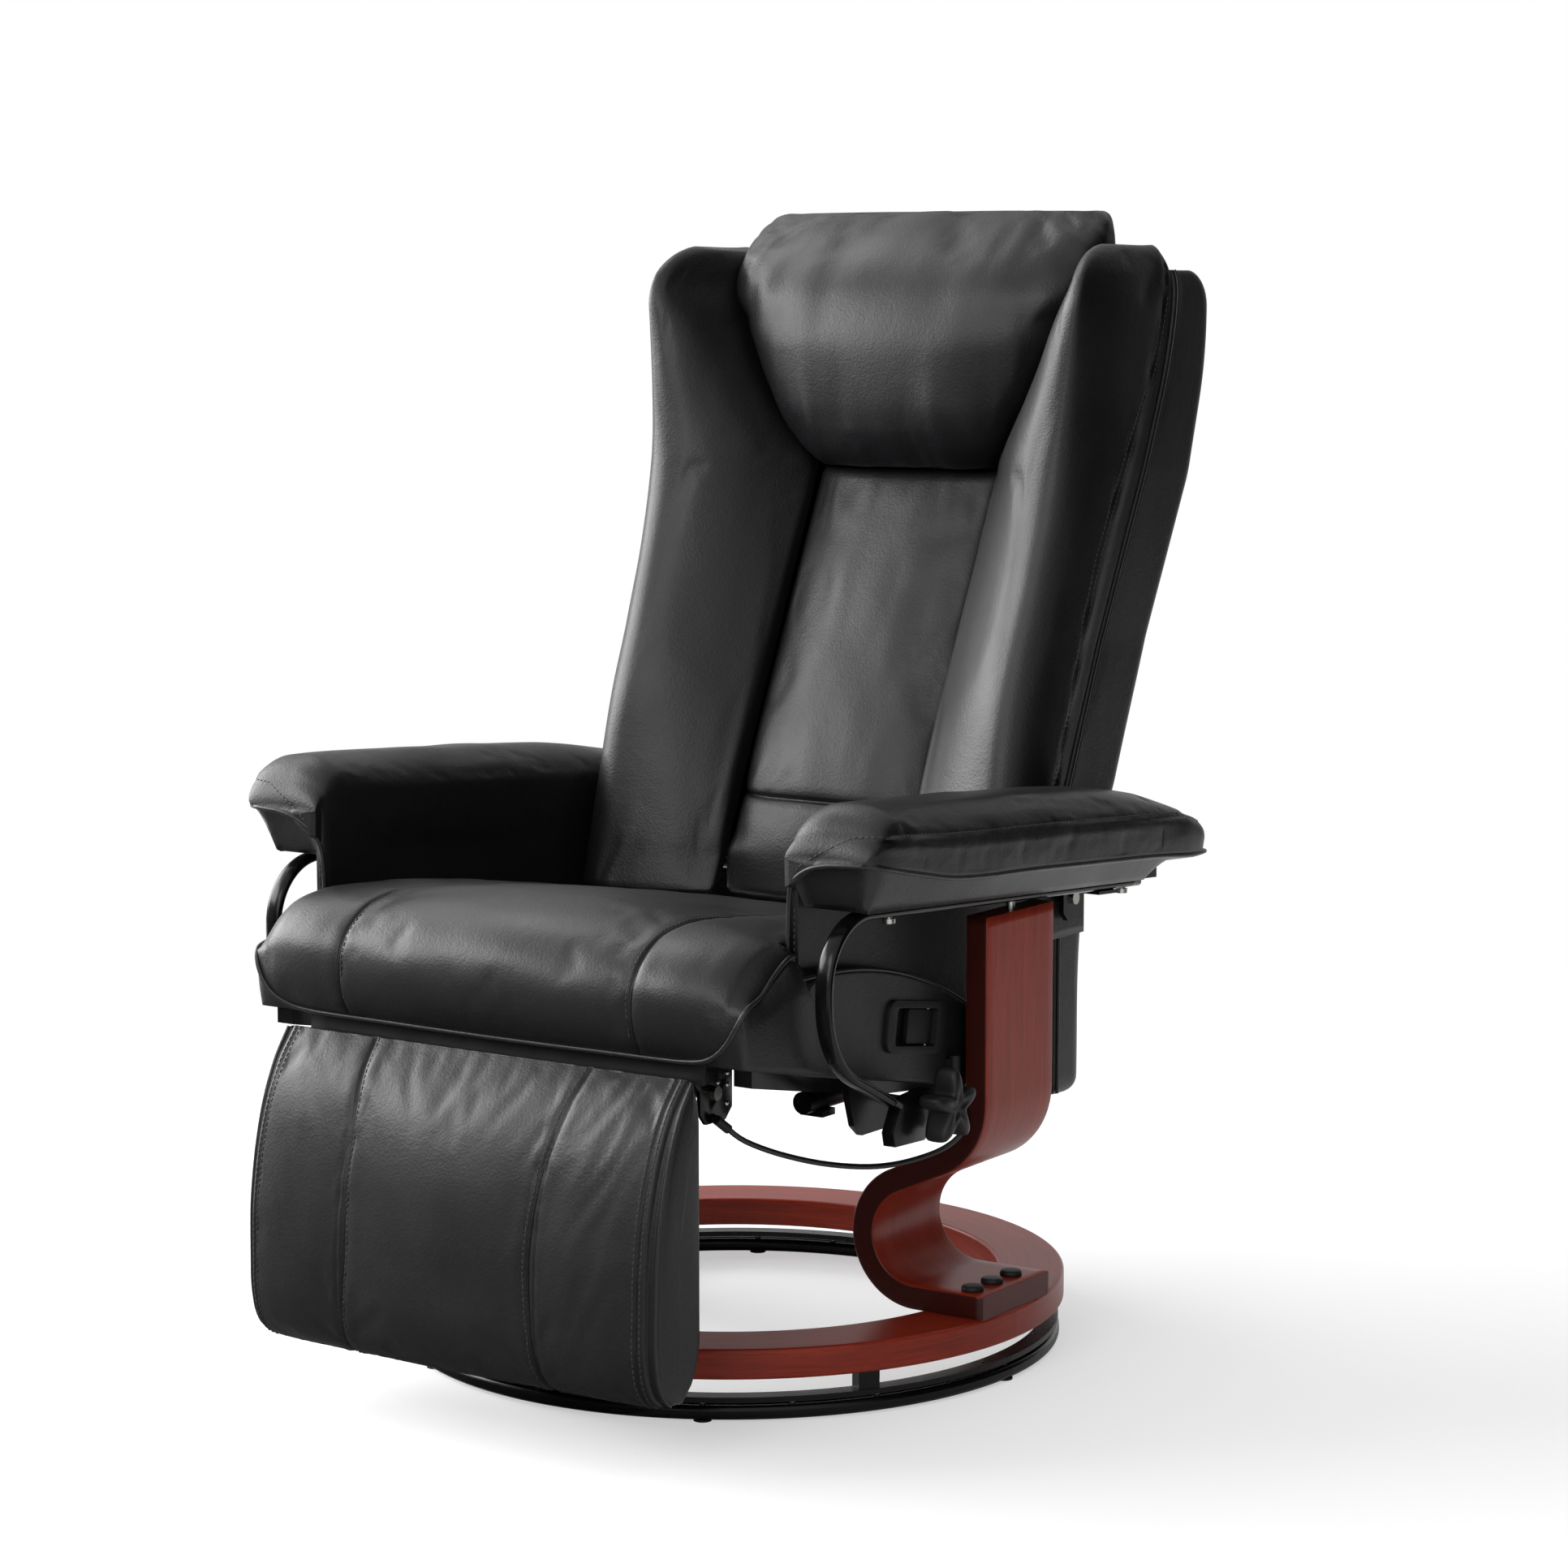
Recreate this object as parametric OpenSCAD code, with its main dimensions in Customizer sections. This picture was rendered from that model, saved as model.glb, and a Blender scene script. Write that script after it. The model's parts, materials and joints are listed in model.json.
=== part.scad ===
// Swivel recliner: a leather seat, back and folding footrest on bent plywood legs
// over a ring base that turns on a ball race.
// Millimetres. The origin is on the floor at the centre of the base ring, +Z is up,
// the chair faces -Y and the sitter's left hand is on +X.

/* [Base] */
// Outer diameter of the plywood ring
ring_d = 620; // [560:5:680]
// Radial width of the plywood ring
ring_band = 62; // [45:1:80]
// Thickness of the plywood ring
ring_t = 27; // [20:1:35]
// Mean radius of the steel floor ring and its ball race
race_r = 297; // [270:1:305]
// Radial width of the steel floor ring
race_w = 18; // [14:1:24]
// Height of the steel floor ring
floor_ring_t = 12.5; // [10:0.5:18]
// Height of the turning steel ring
turn_ring_t = 5; // [4:0.5:8]
// Diameter of a bearing ball
ball_d = 6; // [5:0.5:8]
// Number of bearing balls
ball_n = 24; // [12:1:36]
// Height of the posts between the steel ring and the plywood ring
post_h = 16.6; // [10:0.2:30]
// Height of a plastic floor glide
glide_h = 2; // [1.5:0.5:6]

/* [Legs] */
// Distance between the middles of the two leg strips
leg_span = 598; // [590:2:640]
// Width of a leg strip, front to back
leg_w = 115; // [80:1:140]
// Thickness of a leg strip
leg_t = 22; // [16:1:26]
// Radius of the upper bend, to the middle of the strip
leg_bend_r = 63; // [50:1:70]
// Height of the upper bend's centre
leg_bend_z = 260; // [240:1:280]
// Radius of the curl above the foot, to the middle of the strip
curl_r = 54; // [45:1:58]
// Distance of the curl's centre from the middle of the chair
curl_x = 235; // [225:1:245]
// Diameter of a cap on the foot
cap_d = 20; // [12:1:24]

/* [Side tubes] */
// Width of the flat-oval side tube, across the chair
tube_w = 16; // [12:1:20]
// Thickness of the side tube
tube_t = 9; // [6:0.5:12]
// Height of the tube's upper run above the floor at the middle of the chair
tube_z = 438; // [420:1:460]
// Slope of the upper run, down towards the back
tube_slope = 3.7; // [2:0.1:6]
// Radius of the tube's upper bend
tube_bend_a = 57; // [45:1:60]
// Radius of the tube's lower bend
tube_bend_b = 80; // [70:1:90]
// Distance of the tube's foremost point in front of the middle of the chair
tube_front = 296; // [280:1:310]

/* [Arms] */
// Distance of an arm's inner face from the middle of the chair
arm_in = 251.5; // [250.5:0.5:256]
// Width of an arm pad
arm_w = 94; // [70:1:110]
// Thickness of the board under the pad
arm_board_t = 14; // [9:1:18]
// Height of the pad above its board
arm_pad_h = 78; // [50:1:90]
// Front end of the pad, in front of the middle of the chair
arm_front = 288; // [260:1:300]
// Rear end of the pad, behind the middle of the chair
arm_rear = 302; // [260:1:330]
// Thickness of the upholstered inner panel
arm_panel_t = 11; // [8:1:12]

/* [Seat] */
// Width of the seat cushion in front of the arms
seat_w = 528; // [510:2:528]
// Width of the seat cushion between the arms
seat_rear_w = 498; // [480:2:498]
// Highest point of the seat above the floor
seat_top = 446; // [430:1:470]
// Height of the seat's lower front edge
seat_low = 342; // [338:1:348]
// Foremost point of the seat in front of the middle of the chair
seat_front = 377; // [370:1:390]
// Rear end of the seat cushion, behind the middle of the chair
seat_rear = 113; // [95:1:115]
// Thickness of the upholstered side panels
side_t = 12; // [9:1:13]
// Slope of the seat's runners, up towards the front
runner_slope = 6; // [4:0.5:8]

/* [Back] */
// Width of the back above the arms
back_w = 512; // [500:2:530]
// Width of the back between the arms
back_low_w = 498; // [480:2:498]
// Lean of the back from the vertical
back_lean = 23.75; // [20:0.25:28]
// Height of the top of the rear shell
shell_top = 987; // [960:1:1010]
// Height of the top of the head pillow
head_top = 1043; // [1030:1:1070]
// Depth of the rear shell
shell_t = 107; // [90:1:120]
// Wall of the rear shell
shell_wall = 8; // [6:1:10]
// Width of the middle back cushion
middle_w = 211; // [180:1:230]

/* [Footrest] */
// Width of the footrest
foot_w = 440; // [400:5:460]
// Height of the footrest's lower edge
foot_low = 57; // [50:1:90]
// Height of the footrest's upper edge
foot_high = 326; // [310:1:328]
// Thickness of the pad in the middle
foot_t = 81; // [60:1:85]
// Length of a folding link between its pivots
link_len = 125; // [110:1:130]

/* [Motion] */
// Seat travel along its runners as the back reclines
seat_travel = 60; // [40:1:62]
// Distance from the back's pivot down to its link pin
lever = 140; // [120:1:150]
// Diameter of the star knobs
knob_d = 68; // [50:1:75]
// Thickness of the star knobs
knob_t = 24; // [18:1:28]

/* [Hidden] */

$fn = 48;
fit = 0.05;
seat_gap = 0.3;

// Heights of the base, from the floor up
floor_ring_top = glide_h + floor_ring_t;
ball_z = floor_ring_top + ball_d / 4;
turn_ring_z = ball_z + ball_d / 4;
turn_ring_top = turn_ring_z + turn_ring_t;
ring_z = turn_ring_top + post_h;
ring_top = ring_z + ring_t;
post_angle = -32;
post_count = 4;
post_w = 20;
post_d = race_w - 4;
post_head_r = ring_d / 2 - 13;
glide_count = 6;

// Legs
leg_x = leg_span / 2;
leg_y = 2.5;
leg_front = leg_y - leg_w / 2;
leg_inner = leg_x - leg_t / 2;
bend_x = leg_x - leg_bend_r;
curl_z = ring_top + leg_t / 2 + curl_r;
centre_dx = curl_x - bend_x;
centre_dz = curl_z - leg_bend_z;
centre_gap = norm([centre_dx, centre_dz]);
leg_turn = asin((leg_bend_r + curl_r) / centre_gap) - atan2(centre_dx, -centre_dz);
foot_end = ring_d / 2 - 2.5;
cap_h = 5;
cap_pitch = 33;
cap_x = foot_end - 20;
cap_y = -6;

// Side tubes, in the plane of the chair's side
tube_x = leg_x + 1;
tube_in = tube_x - tube_w / 2;
bolt_gap = 5;
leg_bolt_d = 8;
leg_bolt_depth = 40;
leg_bolt_x = tube_x - 1;
board_screw_d = 6;
tube_bolt_ys = [-198, 200];
tube_edge = 2;
function tube_mid(y) = tube_z - tan(tube_slope) * y;
bend_a_y = -tube_front + tube_bend_a;
bend_a_z = tube_mid(bend_a_y) - tube_bend_a / cos(tube_slope);
bend_b_y = -tube_front + tube_bend_b;
bend_b_z = bend_a_z - 10;
tube_tail = 26;
tail_y = -187;
leg_top = tube_mid(leg_y + leg_w / 2) - tube_t / 2 - bolt_gap / 2;

// Clamp, where a knob presses the seat's slotted plate against the bracket
clamp_y = -141;
clamp_z = 277;
screw_d = 8;
knob_x = tube_x + tube_w / 2 + 4;

// Cross beam between the legs
beam_y0 = 10;
beam_d = 40;
beam_z0 = 266;
beam_t = 30;
beam_flange = 6;
beam_wall = 3;
flange_h = 78;
beam_bolt_r = 4;
beam_bolt_ys = [beam_y0 - 5, beam_y0 + 25];
beam_bolt_z = beam_z0 + 60;

// Arms
arm_out = arm_in + arm_w;
function arm_base(y) = tube_mid(y) + tube_t / 2 / cos(tube_slope);
panel_out = arm_in + arm_panel_t;
panel_front = -278;
panel_rear = 196;
tube_rear = arm_rear - 79;
board_x0 = panel_out + 0.5;
board_x1 = tube_x + tube_w / 2 + 10;
board_rear = arm_rear - 68;
pad_ys = concat([for (d = [0, 3, 9, 26, 60]) -arm_front + d], [-160, -80, 0, 80, 150],
  [for (d = [102, 52, 24, 8, 0]) arm_rear - d]);

// Seat runners
rail_x0 = 200;
rail_s = 25;
rail_front = -340;
rail_back = 190;
rail_z = 345;
rail_y = -380;
function rail_low(y) = rail_z - tan(runner_slope) * (y - rail_y);
function rail_top(y) = rail_low(y) + rail_s;
rail_wall = 2;
frame_ys = [rail_front, -120, 80];
web_t = 2;
strap_w = 50;
strap_ys = [-300, -225, -150, -60, 15];
deck_gap = 0.5;
slide_x0 = rail_x0 + rail_s + 33.5;
slide_t = 6;
slot_gap = 0.4;
ear_t = 4;
// Lower edge of the upholstered side panels
side_slope = 11.5;
function side_low(y) = seat_low - tan(side_slope) * (y + seat_front + 8);
side_x0 = panel_out + 2;
side_x1 = side_x0 + side_t;
wing_rear = panel_front - 5;
roll_y = -seat_front + 87;
roll_drop = 61;
lip_y = rail_front - 5;
seam_x = 158;
seam_depth = 3.5;
seat_crown = 14;

// Back pivot and the pin that draws the seat
pivot_y = 162;
pivot_z = 413;
shaft_r = 6;
pivot_plate_x = panel_out + 3.5;
pivot_plate_t = 5;
recline = 2 * asin(seat_travel / 2 / lever);
lead = recline / 2 - runner_slope;
link_y = pivot_y + lever * sin(lead);
link_z = pivot_z - lever * cos(lead);
link_pin_r = 5;

// Back: the line of the shell's front edge, curling forward near the top
line_y = 189;
line_z = 515;
curl_from = 865;
curl_div = 640;
function back_line(z) =
  line_y + tan(back_lean) * (z - line_z) - (z > curl_from ? pow(z - curl_from, 2) / curl_div : 0);
tray_depth = 35;
skirt_front = 168;
skirt_rear = 228;
skirt_top = 385;
skirt_low = 222;
function half_back(z) = lookup(z, [[640, back_low_w / 2], [800, back_w / 2]]);
function shell_front(z) =
  z < 430 ? lookup(z, [[skirt_top, skirt_front], [430, back_line(430)]]) : back_line(z);
function shell_rear(z) =
  z < 505 ? lookup(z, [[300, skirt_rear - 2], [390, skirt_rear + 4], [505, back_line(505) + shell_t]])
          : back_line(z) + lookup(z, [[790, shell_t], [940, shell_t - 22]]);
void_x = back_low_w / 2 - shell_wall;
plate_t = 8;
plate_x1 = void_x - 2;
plate_x0 = plate_x1 - plate_t;
cushion_low = 388;
middle_top = 794;
lumbar_z = 484;
bolster_top = 1012;
pillow_low = 797;
function pillow_half(z) =
  lookup(z, [[795, middle_w / 2 - 8], [821, 119], [896, 166], [985, 204], [1043, 196]]);
function middle_front(z) = lookup(z, [[380, 126], [430, 130], [lumbar_z, 146], [800, 292]]);
function bolster_front(z) = lookup(z, [
  [388, 78], [518, 104], [581, 120], [645, 143], [708, 166], [772, 184], [853, 197], [973, 206]]);
ridge_part = 0.74;
flank_in = 24;
function pillow_front(z) = lookup(z, [
  [797, 268], [825, 250], [860, 240], [910, 238], [960, 250], [1000, 276], [1030, 312], [1043, 336]]);

// Folding footrest links: angles of the links at rest, from the vertical
hinge_y = -290;
hinge_z = 298;
arm_rest = -6;
link_rest = 16;
elbow_y = hinge_y - link_len * sin(arm_rest);
elbow_z = hinge_z - link_len * cos(arm_rest);
ear_y = elbow_y - link_len * sin(link_rest);
ear_z = elbow_z + link_len * cos(link_rest);
arm_x0 = 146;
link_strip_t = 5;
link_x0 = arm_x0 - link_strip_t - 1;
ear_x0 = link_x0 - link_strip_t - 1;
strip_r = 10;
rod_r = 6;
pin_r = 4;
hanger_x = 180;
hanger_t = 4;
board_back = -350;
foot_board_t = 10;
foot_back = board_back - foot_board_t;

// Release handle on the seat's side
handle_y = -122;
handle_z = 338;
handle_w = 92;
handle_h = 46;
handle_tilt = 9;
handle_proud = 4;
tub_depth = side_t - 2;
open_w = handle_w - 26;
open_h = handle_h - 13;
tub_wall = 2.8;
paddle_x = -4;
paddle_w = 38;
paddle_t = 5;
paddle_gap = 1.5;
paddle_pin_r = 1.5;
paddle_pin_y = open_w / 2 - 5;

// Release cable: points of its middle line, from the handle down and forward to the latch
cable_d = 5;
cable_route = [
  [283.5, -64, 284], [284.5, -64, 272], [290, -62, 260], [293, -61, 248], [291, -66, 235], [284, -80, 225],
  [274, -101, 219], [261, -130, 216], [247, -160, 218], [229, -197, 226], [211, -234, 239], [197, -262, 253],
  [192.2, -280, 266]
];
cable_steps = 4;

// Points on an arc about [cx, cy] from angle a0 to a1
function arc(cx, cy, r, a0, a1, n = 8) =
  [for (i = [0:n]) let (a = a0 + (a1 - a0) * i / n) [cx + r * cos(a), cy + r * sin(a)]];

// Closed loop of n points, a rounded rectangle between two corners with corner power p
function loop(u0, u1, v0, v1, p, n) =
  [for (i = [0:n - 1]) let (a = 360 * i / n, c = cos(a), s = sin(a))
    [(u0 + u1) / 2 + (u1 - u0) / 2 * sign(c) * pow(abs(c), 2 / p),
     (v0 + v1) / 2 + (v1 - v0) / 2 * sign(s) * pow(abs(s), 2 / p)]];

// Middle of a list of points
function middle(pts) = [for (k = [0:2]) [for (p = pts) p[k]] * [for (p = pts) 1] / len(pts)];

// Closed skin over a row of equal loops of 3D points
module skin(loops) {
  m = len(loops);
  n = len(loops[0]);
  pts = concat([for (l = loops) each l], [middle(loops[0]), middle(loops[m - 1])]);
  walls = [for (k = [0:m - 2], i = [0:n - 1]) let (j = (i + 1) % n, a = k * n, b = a + n)
    each [[a + i, b + i, b + j], [a + i, b + j, a + j]]];
  first_end = [for (i = [0:n - 1]) [m * n, i, (i + 1) % n]];
  last_end = [for (i = [0:n - 1]) [m * n + 1, (m - 1) * n + (i + 1) % n, (m - 1) * n + i]];
  polyhedron(points = pts, faces = concat(walls, first_end, last_end), convexity = 6);
}

// A side outline, drawn as [y, z], given a thickness across the chair from x0
module side_plate(x0, t) translate([x0, 0, 0]) rotate([90, 0, 90]) linear_extrude(t) children();

// A front outline, drawn as [x, z], given a depth from y0 towards the back
module front_plate(y0, d) translate([0, y0 + d, 0]) rotate([90, 0, 0]) linear_extrude(d) children();

// A straight round bar across the chair from x0 to x1
module cross_bar(x0, x1, y, z, r) translate([x0, y, z]) rotate([0, 90, 0]) cylinder(r = r, h = x1 - x0);

// The same thing on both sides
module both_sides() {
  children();
  mirror([1, 0, 0]) children();
}

// A link strip between two pivots, drawn as [y, z], with an eye at each end
module link_outline(a, b, hole_a, hole_b) {
  difference() {
    union() {
      translate(a) circle(r = strip_r);
      translate(b) circle(r = strip_r);
      d = b - a;
      translate(a) rotate(atan2(d[1], d[0])) translate([0, -strip_r * 0.8]) square([norm(d), strip_r * 1.6]);
    }
    translate(a) circle(r = hole_a + fit);
    translate(b) circle(r = hole_b + fit);
  }
}

module floor_glides() color("#202020")
  for (i = [0:glide_count - 1]) rotate(i * 360 / glide_count)
    translate([race_r, 0, 0]) cylinder(r = race_w / 2 - 1, h = glide_h);

// Round-edged steel ring with a groove for the balls in its upper face
module floor_ring() color("#161616") {
  edge = 4.5;
  r0 = race_r - race_w / 2;
  r1 = race_r + race_w / 2;
  rotate_extrude($fn = 96) difference() {
    polygon(concat(
      arc(r0 + edge, glide_h + edge, edge, 180, 270),
      arc(r1 - edge, glide_h + edge, edge, 270, 360),
      arc(r1 - edge, floor_ring_top - edge, edge, 0, 90),
      arc(r0 + edge, floor_ring_top - edge, edge, 90, 180)));
    translate([race_r, ball_z]) circle(r = ball_d / 2 + 2 * fit);
  }
}

module bearing_balls() color("#c8c8c8")
  for (i = [0:ball_n - 1]) rotate(i * 360 / ball_n)
    translate([race_r, 0, ball_z]) sphere(d = ball_d);

module turn_ring() color("#161616")
  rotate_extrude($fn = 96) difference() {
    translate([race_r - race_w / 2 + 1, turn_ring_z]) square([race_w - 2, turn_ring_t]);
    translate([race_r, ball_z]) circle(r = ball_d / 2 + 2 * fit);
  }

// Posts from the turning steel ring up to the plywood ring, drawn as [radius, z]
module ring_posts() color("#161616")
  for (i = [0:post_count - 1]) rotate(post_angle + i * 360 / post_count)
    front_plate(-post_w / 2, post_w) polygon([
      [race_r - post_d / 2, turn_ring_top], [race_r + post_d / 2, turn_ring_top],
      [post_head_r + post_d / 2, ring_z], [post_head_r - post_d / 2, ring_z]]);

module wood_ring() color("#69322a") {
  edge = 3;
  r0 = ring_d / 2 - ring_band;
  r1 = ring_d / 2;
  rotate_extrude($fn = 128) polygon(concat(
    arc(r0 + edge, ring_z + edge, edge, 180, 270, 4), arc(r1 - edge, ring_z + edge, edge, 270, 360, 4),
    arc(r1 - edge, ring_top - edge, edge, 0, 90, 4), arc(r0 + edge, ring_top - edge, edge, 90, 180, 4)));
}

// Outline of a bent leg: down the outer side, round the bend and the curl to the foot, and back
module leg_outline() {
  h = leg_t / 2;
  tilt = 90 - leg_turn;
  a_end = -leg_turn;
  polygon(concat(
    [[leg_x + h, leg_top]], arc(bend_x, leg_bend_z, leg_bend_r + h, 0, a_end, 16),
    arc(curl_x, curl_z, curl_r - h, 90 + tilt, 270, 32),
    [[foot_end, ring_top + leg_t], [foot_end, ring_top]],
    arc(curl_x, curl_z, curl_r + h, 270, 90 + tilt, 32),
    arc(bend_x, leg_bend_z, leg_bend_r - h, a_end, 0, 16), [[leg_x - h, leg_top]]));
}

module leg() difference() {
  front_plate(leg_front, leg_w) leg_outline();
  translate([leg_bolt_x, leg_y, leg_top - leg_bolt_depth]) cylinder(d = leg_bolt_d, h = leg_bolt_depth + 20);
}

module leg_left() color("#69322a") leg();
module leg_right() color("#69322a") mirror([1, 0, 0]) leg();

module leg_caps() color("#151515") both_sides()
  for (i = [-1:1]) translate([cap_x, cap_y + i * cap_pitch, ring_top + leg_t]) {
    cylinder(d = cap_d, h = cap_h - 1.5);
    translate([0, 0, cap_h - 1.5]) cylinder(d1 = cap_d, d2 = cap_d - 3, h = 1.5);
  }

// A bolt from each side tube down into the top of the leg
module leg_bolts() color("#b8b8b8") both_sides() {
  top = tube_mid(leg_y) + tube_t / 2;
  translate([leg_bolt_x, leg_y, leg_top - leg_bolt_depth])
    cylinder(d = leg_bolt_d, h = top + 2 - leg_top + leg_bolt_depth);
  translate([leg_bolt_x, leg_y, top + 0.5]) cylinder(d = leg_bolt_d + 6, h = 5, $fn = 6);
}

// Rectangular steel tube between the legs, with a bolted flange at each end
module cross_beam() color("#161616") difference() {
  union() {
    translate([-leg_inner, beam_y0, beam_z0]) cube([2 * leg_inner, beam_d, beam_t]);
    both_sides() translate([leg_inner - beam_flange, beam_y0 - 20, beam_z0])
      cube([beam_flange, beam_d + 20, flange_h]);
  }
  translate([-leg_inner + beam_flange, beam_y0 + beam_wall, beam_z0 + beam_wall])
    cube([2 * (leg_inner - beam_flange), beam_d - 2 * beam_wall, beam_t - 2 * beam_wall]);
  for (y = beam_bolt_ys) cross_bar(-leg_inner - 1, leg_inner + 1, y, beam_bolt_z, beam_bolt_r);
}

module beam_bolts() color("#b8b8b8") both_sides()
  for (y = beam_bolt_ys) {
    cross_bar(leg_inner - beam_flange - 5, leg_inner - beam_flange, y, beam_bolt_z, beam_bolt_r + 2.5);
    cross_bar(leg_inner - beam_flange, leg_inner, y, beam_bolt_z, beam_bolt_r);
  }

// Plastic pads on the beam that the seat's runners slide over
module runner_pads() color("#e0e0d8") both_sides() {
  y1 = beam_y0 + beam_d;
  top = beam_z0 + beam_t;
  side_plate(rail_x0, rail_s) polygon([
    [beam_y0, top], [y1, top], [y1, rail_low(y1) - seat_gap], [beam_y0, rail_low(beam_y0) - seat_gap]]);
}

// Line of the side tube at a distance off its middle, drawn as [y, z], from its rear end to its lower end
function tube_line(off) = let (
  top_a = 90 - tube_slope, low_a = 270 - tube_tail, out = [cos(low_a), sin(low_a)],
  bend = [bend_b_y, bend_b_z] + (tube_bend_b + off) * out,
  tail = (tail_y - bend_b_y - tube_bend_b * out[0]) / cos(tube_tail))
  concat(
    [[tube_rear + off * cos(top_a), tube_mid(tube_rear) + off * sin(top_a)]],
    arc(bend_a_y, bend_a_z, tube_bend_a + off, top_a, 180, 20),
    arc(bend_b_y, bend_b_z, tube_bend_b + off, 180, low_a, 16),
    [bend + tail * [cos(tube_tail), -sin(tube_tail)]]);

module tube_outline(t) {
  inner = tube_line(-t / 2);
  polygon(concat(tube_line(t / 2), [for (i = [len(inner) - 1:-1:0]) inner[i]]));
}

// Flat-oval side tube: a core with thinner edges on both sides
module side_tube() difference() {
  union() {
    side_plate(tube_x - tube_w / 2 + tube_edge, tube_w - 2 * tube_edge) tube_outline(tube_t);
    side_plate(tube_x - tube_w / 2, tube_w) tube_outline(tube_t - tube_edge);
  }
  translate([leg_bolt_x, leg_y, tube_mid(leg_y) - 20]) cylinder(d = leg_bolt_d + slot_gap, h = 40);
  for (y = tube_bolt_ys) translate([tube_x, y, tube_mid(y) - 20])
    cylinder(d = board_screw_d + slot_gap, h = 40);
}

module side_tube_left() color("#141414") side_tube();
module side_tube_right() color("#141414") mirror([1, 0, 0]) side_tube();

// Screws up through the side tubes into the arm boards
module tube_bolts() color("#b0b0b0") both_sides()
  for (y = tube_bolt_ys) translate([tube_x, y, tube_mid(y)]) {
    translate([0, 0, -tube_t / 2 - 5]) cylinder(d = board_screw_d + 5, h = 4);
    translate([0, 0, -tube_t / 2 - 1]) cylinder(d = board_screw_d, h = tube_t + arm_board_t - 2);
  }

// Bracket between the tube's lower end and the clamp screw
module clamp_bracket() {
  end_z = bend_b_z - tube_bend_b * sin(90 - tube_tail)
    - tan(tube_tail) * (tail_y - bend_b_y + tube_bend_b * cos(90 - tube_tail));
  up = tube_t / 2 * [sin(tube_tail), cos(tube_tail)];
  side_plate(tube_x - 6, 12) difference() {
    union() {
      translate([clamp_y, clamp_z]) circle(r = 14);
      polygon([
        [tail_y + up[0], end_z + up[1]], [tail_y - up[0], end_z - up[1]], [tail_y - 12, clamp_z - 16],
        [tail_y - 9, clamp_z - 28], [clamp_y - 8, clamp_z - 30], [clamp_y + 10, clamp_z - 10],
        [clamp_y, clamp_z + 14]]);
    }
    translate([clamp_y, clamp_z]) circle(r = screw_d / 2 + fit);
  }
}

module clamp_bracket_left() color("#141414") clamp_bracket();
module clamp_bracket_right() color("#141414") mirror([1, 0, 0]) clamp_bracket();

// Screw from behind the slotted plate, through the bracket, into the knob
module clamp_screw() {
  cross_bar(slide_x0 - 8, slide_x0 - 0.5, clamp_y, clamp_z, 9);
  cross_bar(slide_x0 - 0.5, knob_x + knob_t / 2, clamp_y, clamp_z, screw_d / 2);
}

module clamp_screw_left() color("#c0c0c0") clamp_screw();
module clamp_screw_right() color("#c0c0c0") mirror([1, 0, 0]) clamp_screw();

// Five-lobed knob
module knob() {
  lobe_r = knob_d * 0.13;
  reach = knob_d / 2 - lobe_r;
  difference() {
    union() {
      translate([knob_x, clamp_y, clamp_z]) rotate([0, 90, 0]) cylinder(r = knob_d * 0.26, h = knob_t);
      side_plate(knob_x + 3, knob_t - 6) translate([clamp_y, clamp_z]) for (i = [0:4]) rotate(90 + i * 72) {
        translate([reach, 0]) circle(r = lobe_r);
        translate([0, -lobe_r]) square([reach, 2 * lobe_r]);
      }
    }
    cross_bar(knob_x - 1, knob_x + knob_t / 2 + 1, clamp_y, clamp_z, screw_d / 2 + fit);
  }
}

module knob_left() color("#1d1b1b") knob();
module knob_right() color("#1d1b1b") mirror([1, 0, 0]) knob();

// Board that carries the pad, seated on the side tube
function arm_floor(y) = arm_base(y) + arm_board_t;
function pad_low(y) = let (d = y + arm_front) arm_floor(y) + (d < 130 ? 22 * pow((130 - d) / 130, 2) : 0);
function pad_rise(y) = arm_pad_h * min(
  lookup(y + arm_front, [[0, 0.42], [8, 0.72], [26, 0.92], [60, 1]]),
  lookup(arm_rear - y, [[0, 0.2], [17, 0.42], [52, 0.66], [102, 0.82], [182, 0.93], [300, 0.97]]));

module arm_board() {
  ys = concat([for (y = pad_ys) if (y >= -arm_front + 26 && y < board_rear) y], [board_rear]);
  difference() {
    side_plate(board_x0, board_x1 - board_x0) polygon(concat(
      [for (y = ys) [y, arm_base(y)]], [for (i = [len(ys) - 1:-1:0]) [ys[i], pad_low(ys[i]) - seat_gap]]));
    translate([leg_bolt_x, leg_y, arm_base(leg_y) - 3]) cylinder(d = leg_bolt_d + 11, h = 10);
    for (y = tube_bolt_ys) translate([tube_x, y, arm_base(y) - 3])
      cylinder(d = board_screw_d + slot_gap, h = arm_board_t);
  }
}

module arm_board_left() color("#2a2018") arm_board();
module arm_board_right() color("#2a2018") mirror([1, 0, 0]) arm_board();

// Padded arm top: a rounded section that rises quickly at the front and slopes off behind
module arm_pad() skin([for (y = pad_ys) let (
    inset = lookup(y + arm_front, [[0, 12], [3, 6], [9, 2], [26, 0]])
      + lookup(arm_rear - y, [[0, 24], [8, 12], [24, 4], [52, 0]]),
    low = pad_low(y), high = arm_floor(y) + pad_rise(y), dip = min(4, inset))
    [for (p = loop(low, high, arm_in + dip, arm_out - inset, 3.2, 24)) [p[1], y, p[0]]]]);

module arm_pad_left() color("#232324") arm_pad();
module arm_pad_right() color("#232324") mirror([1, 0, 0]) arm_pad();

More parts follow.
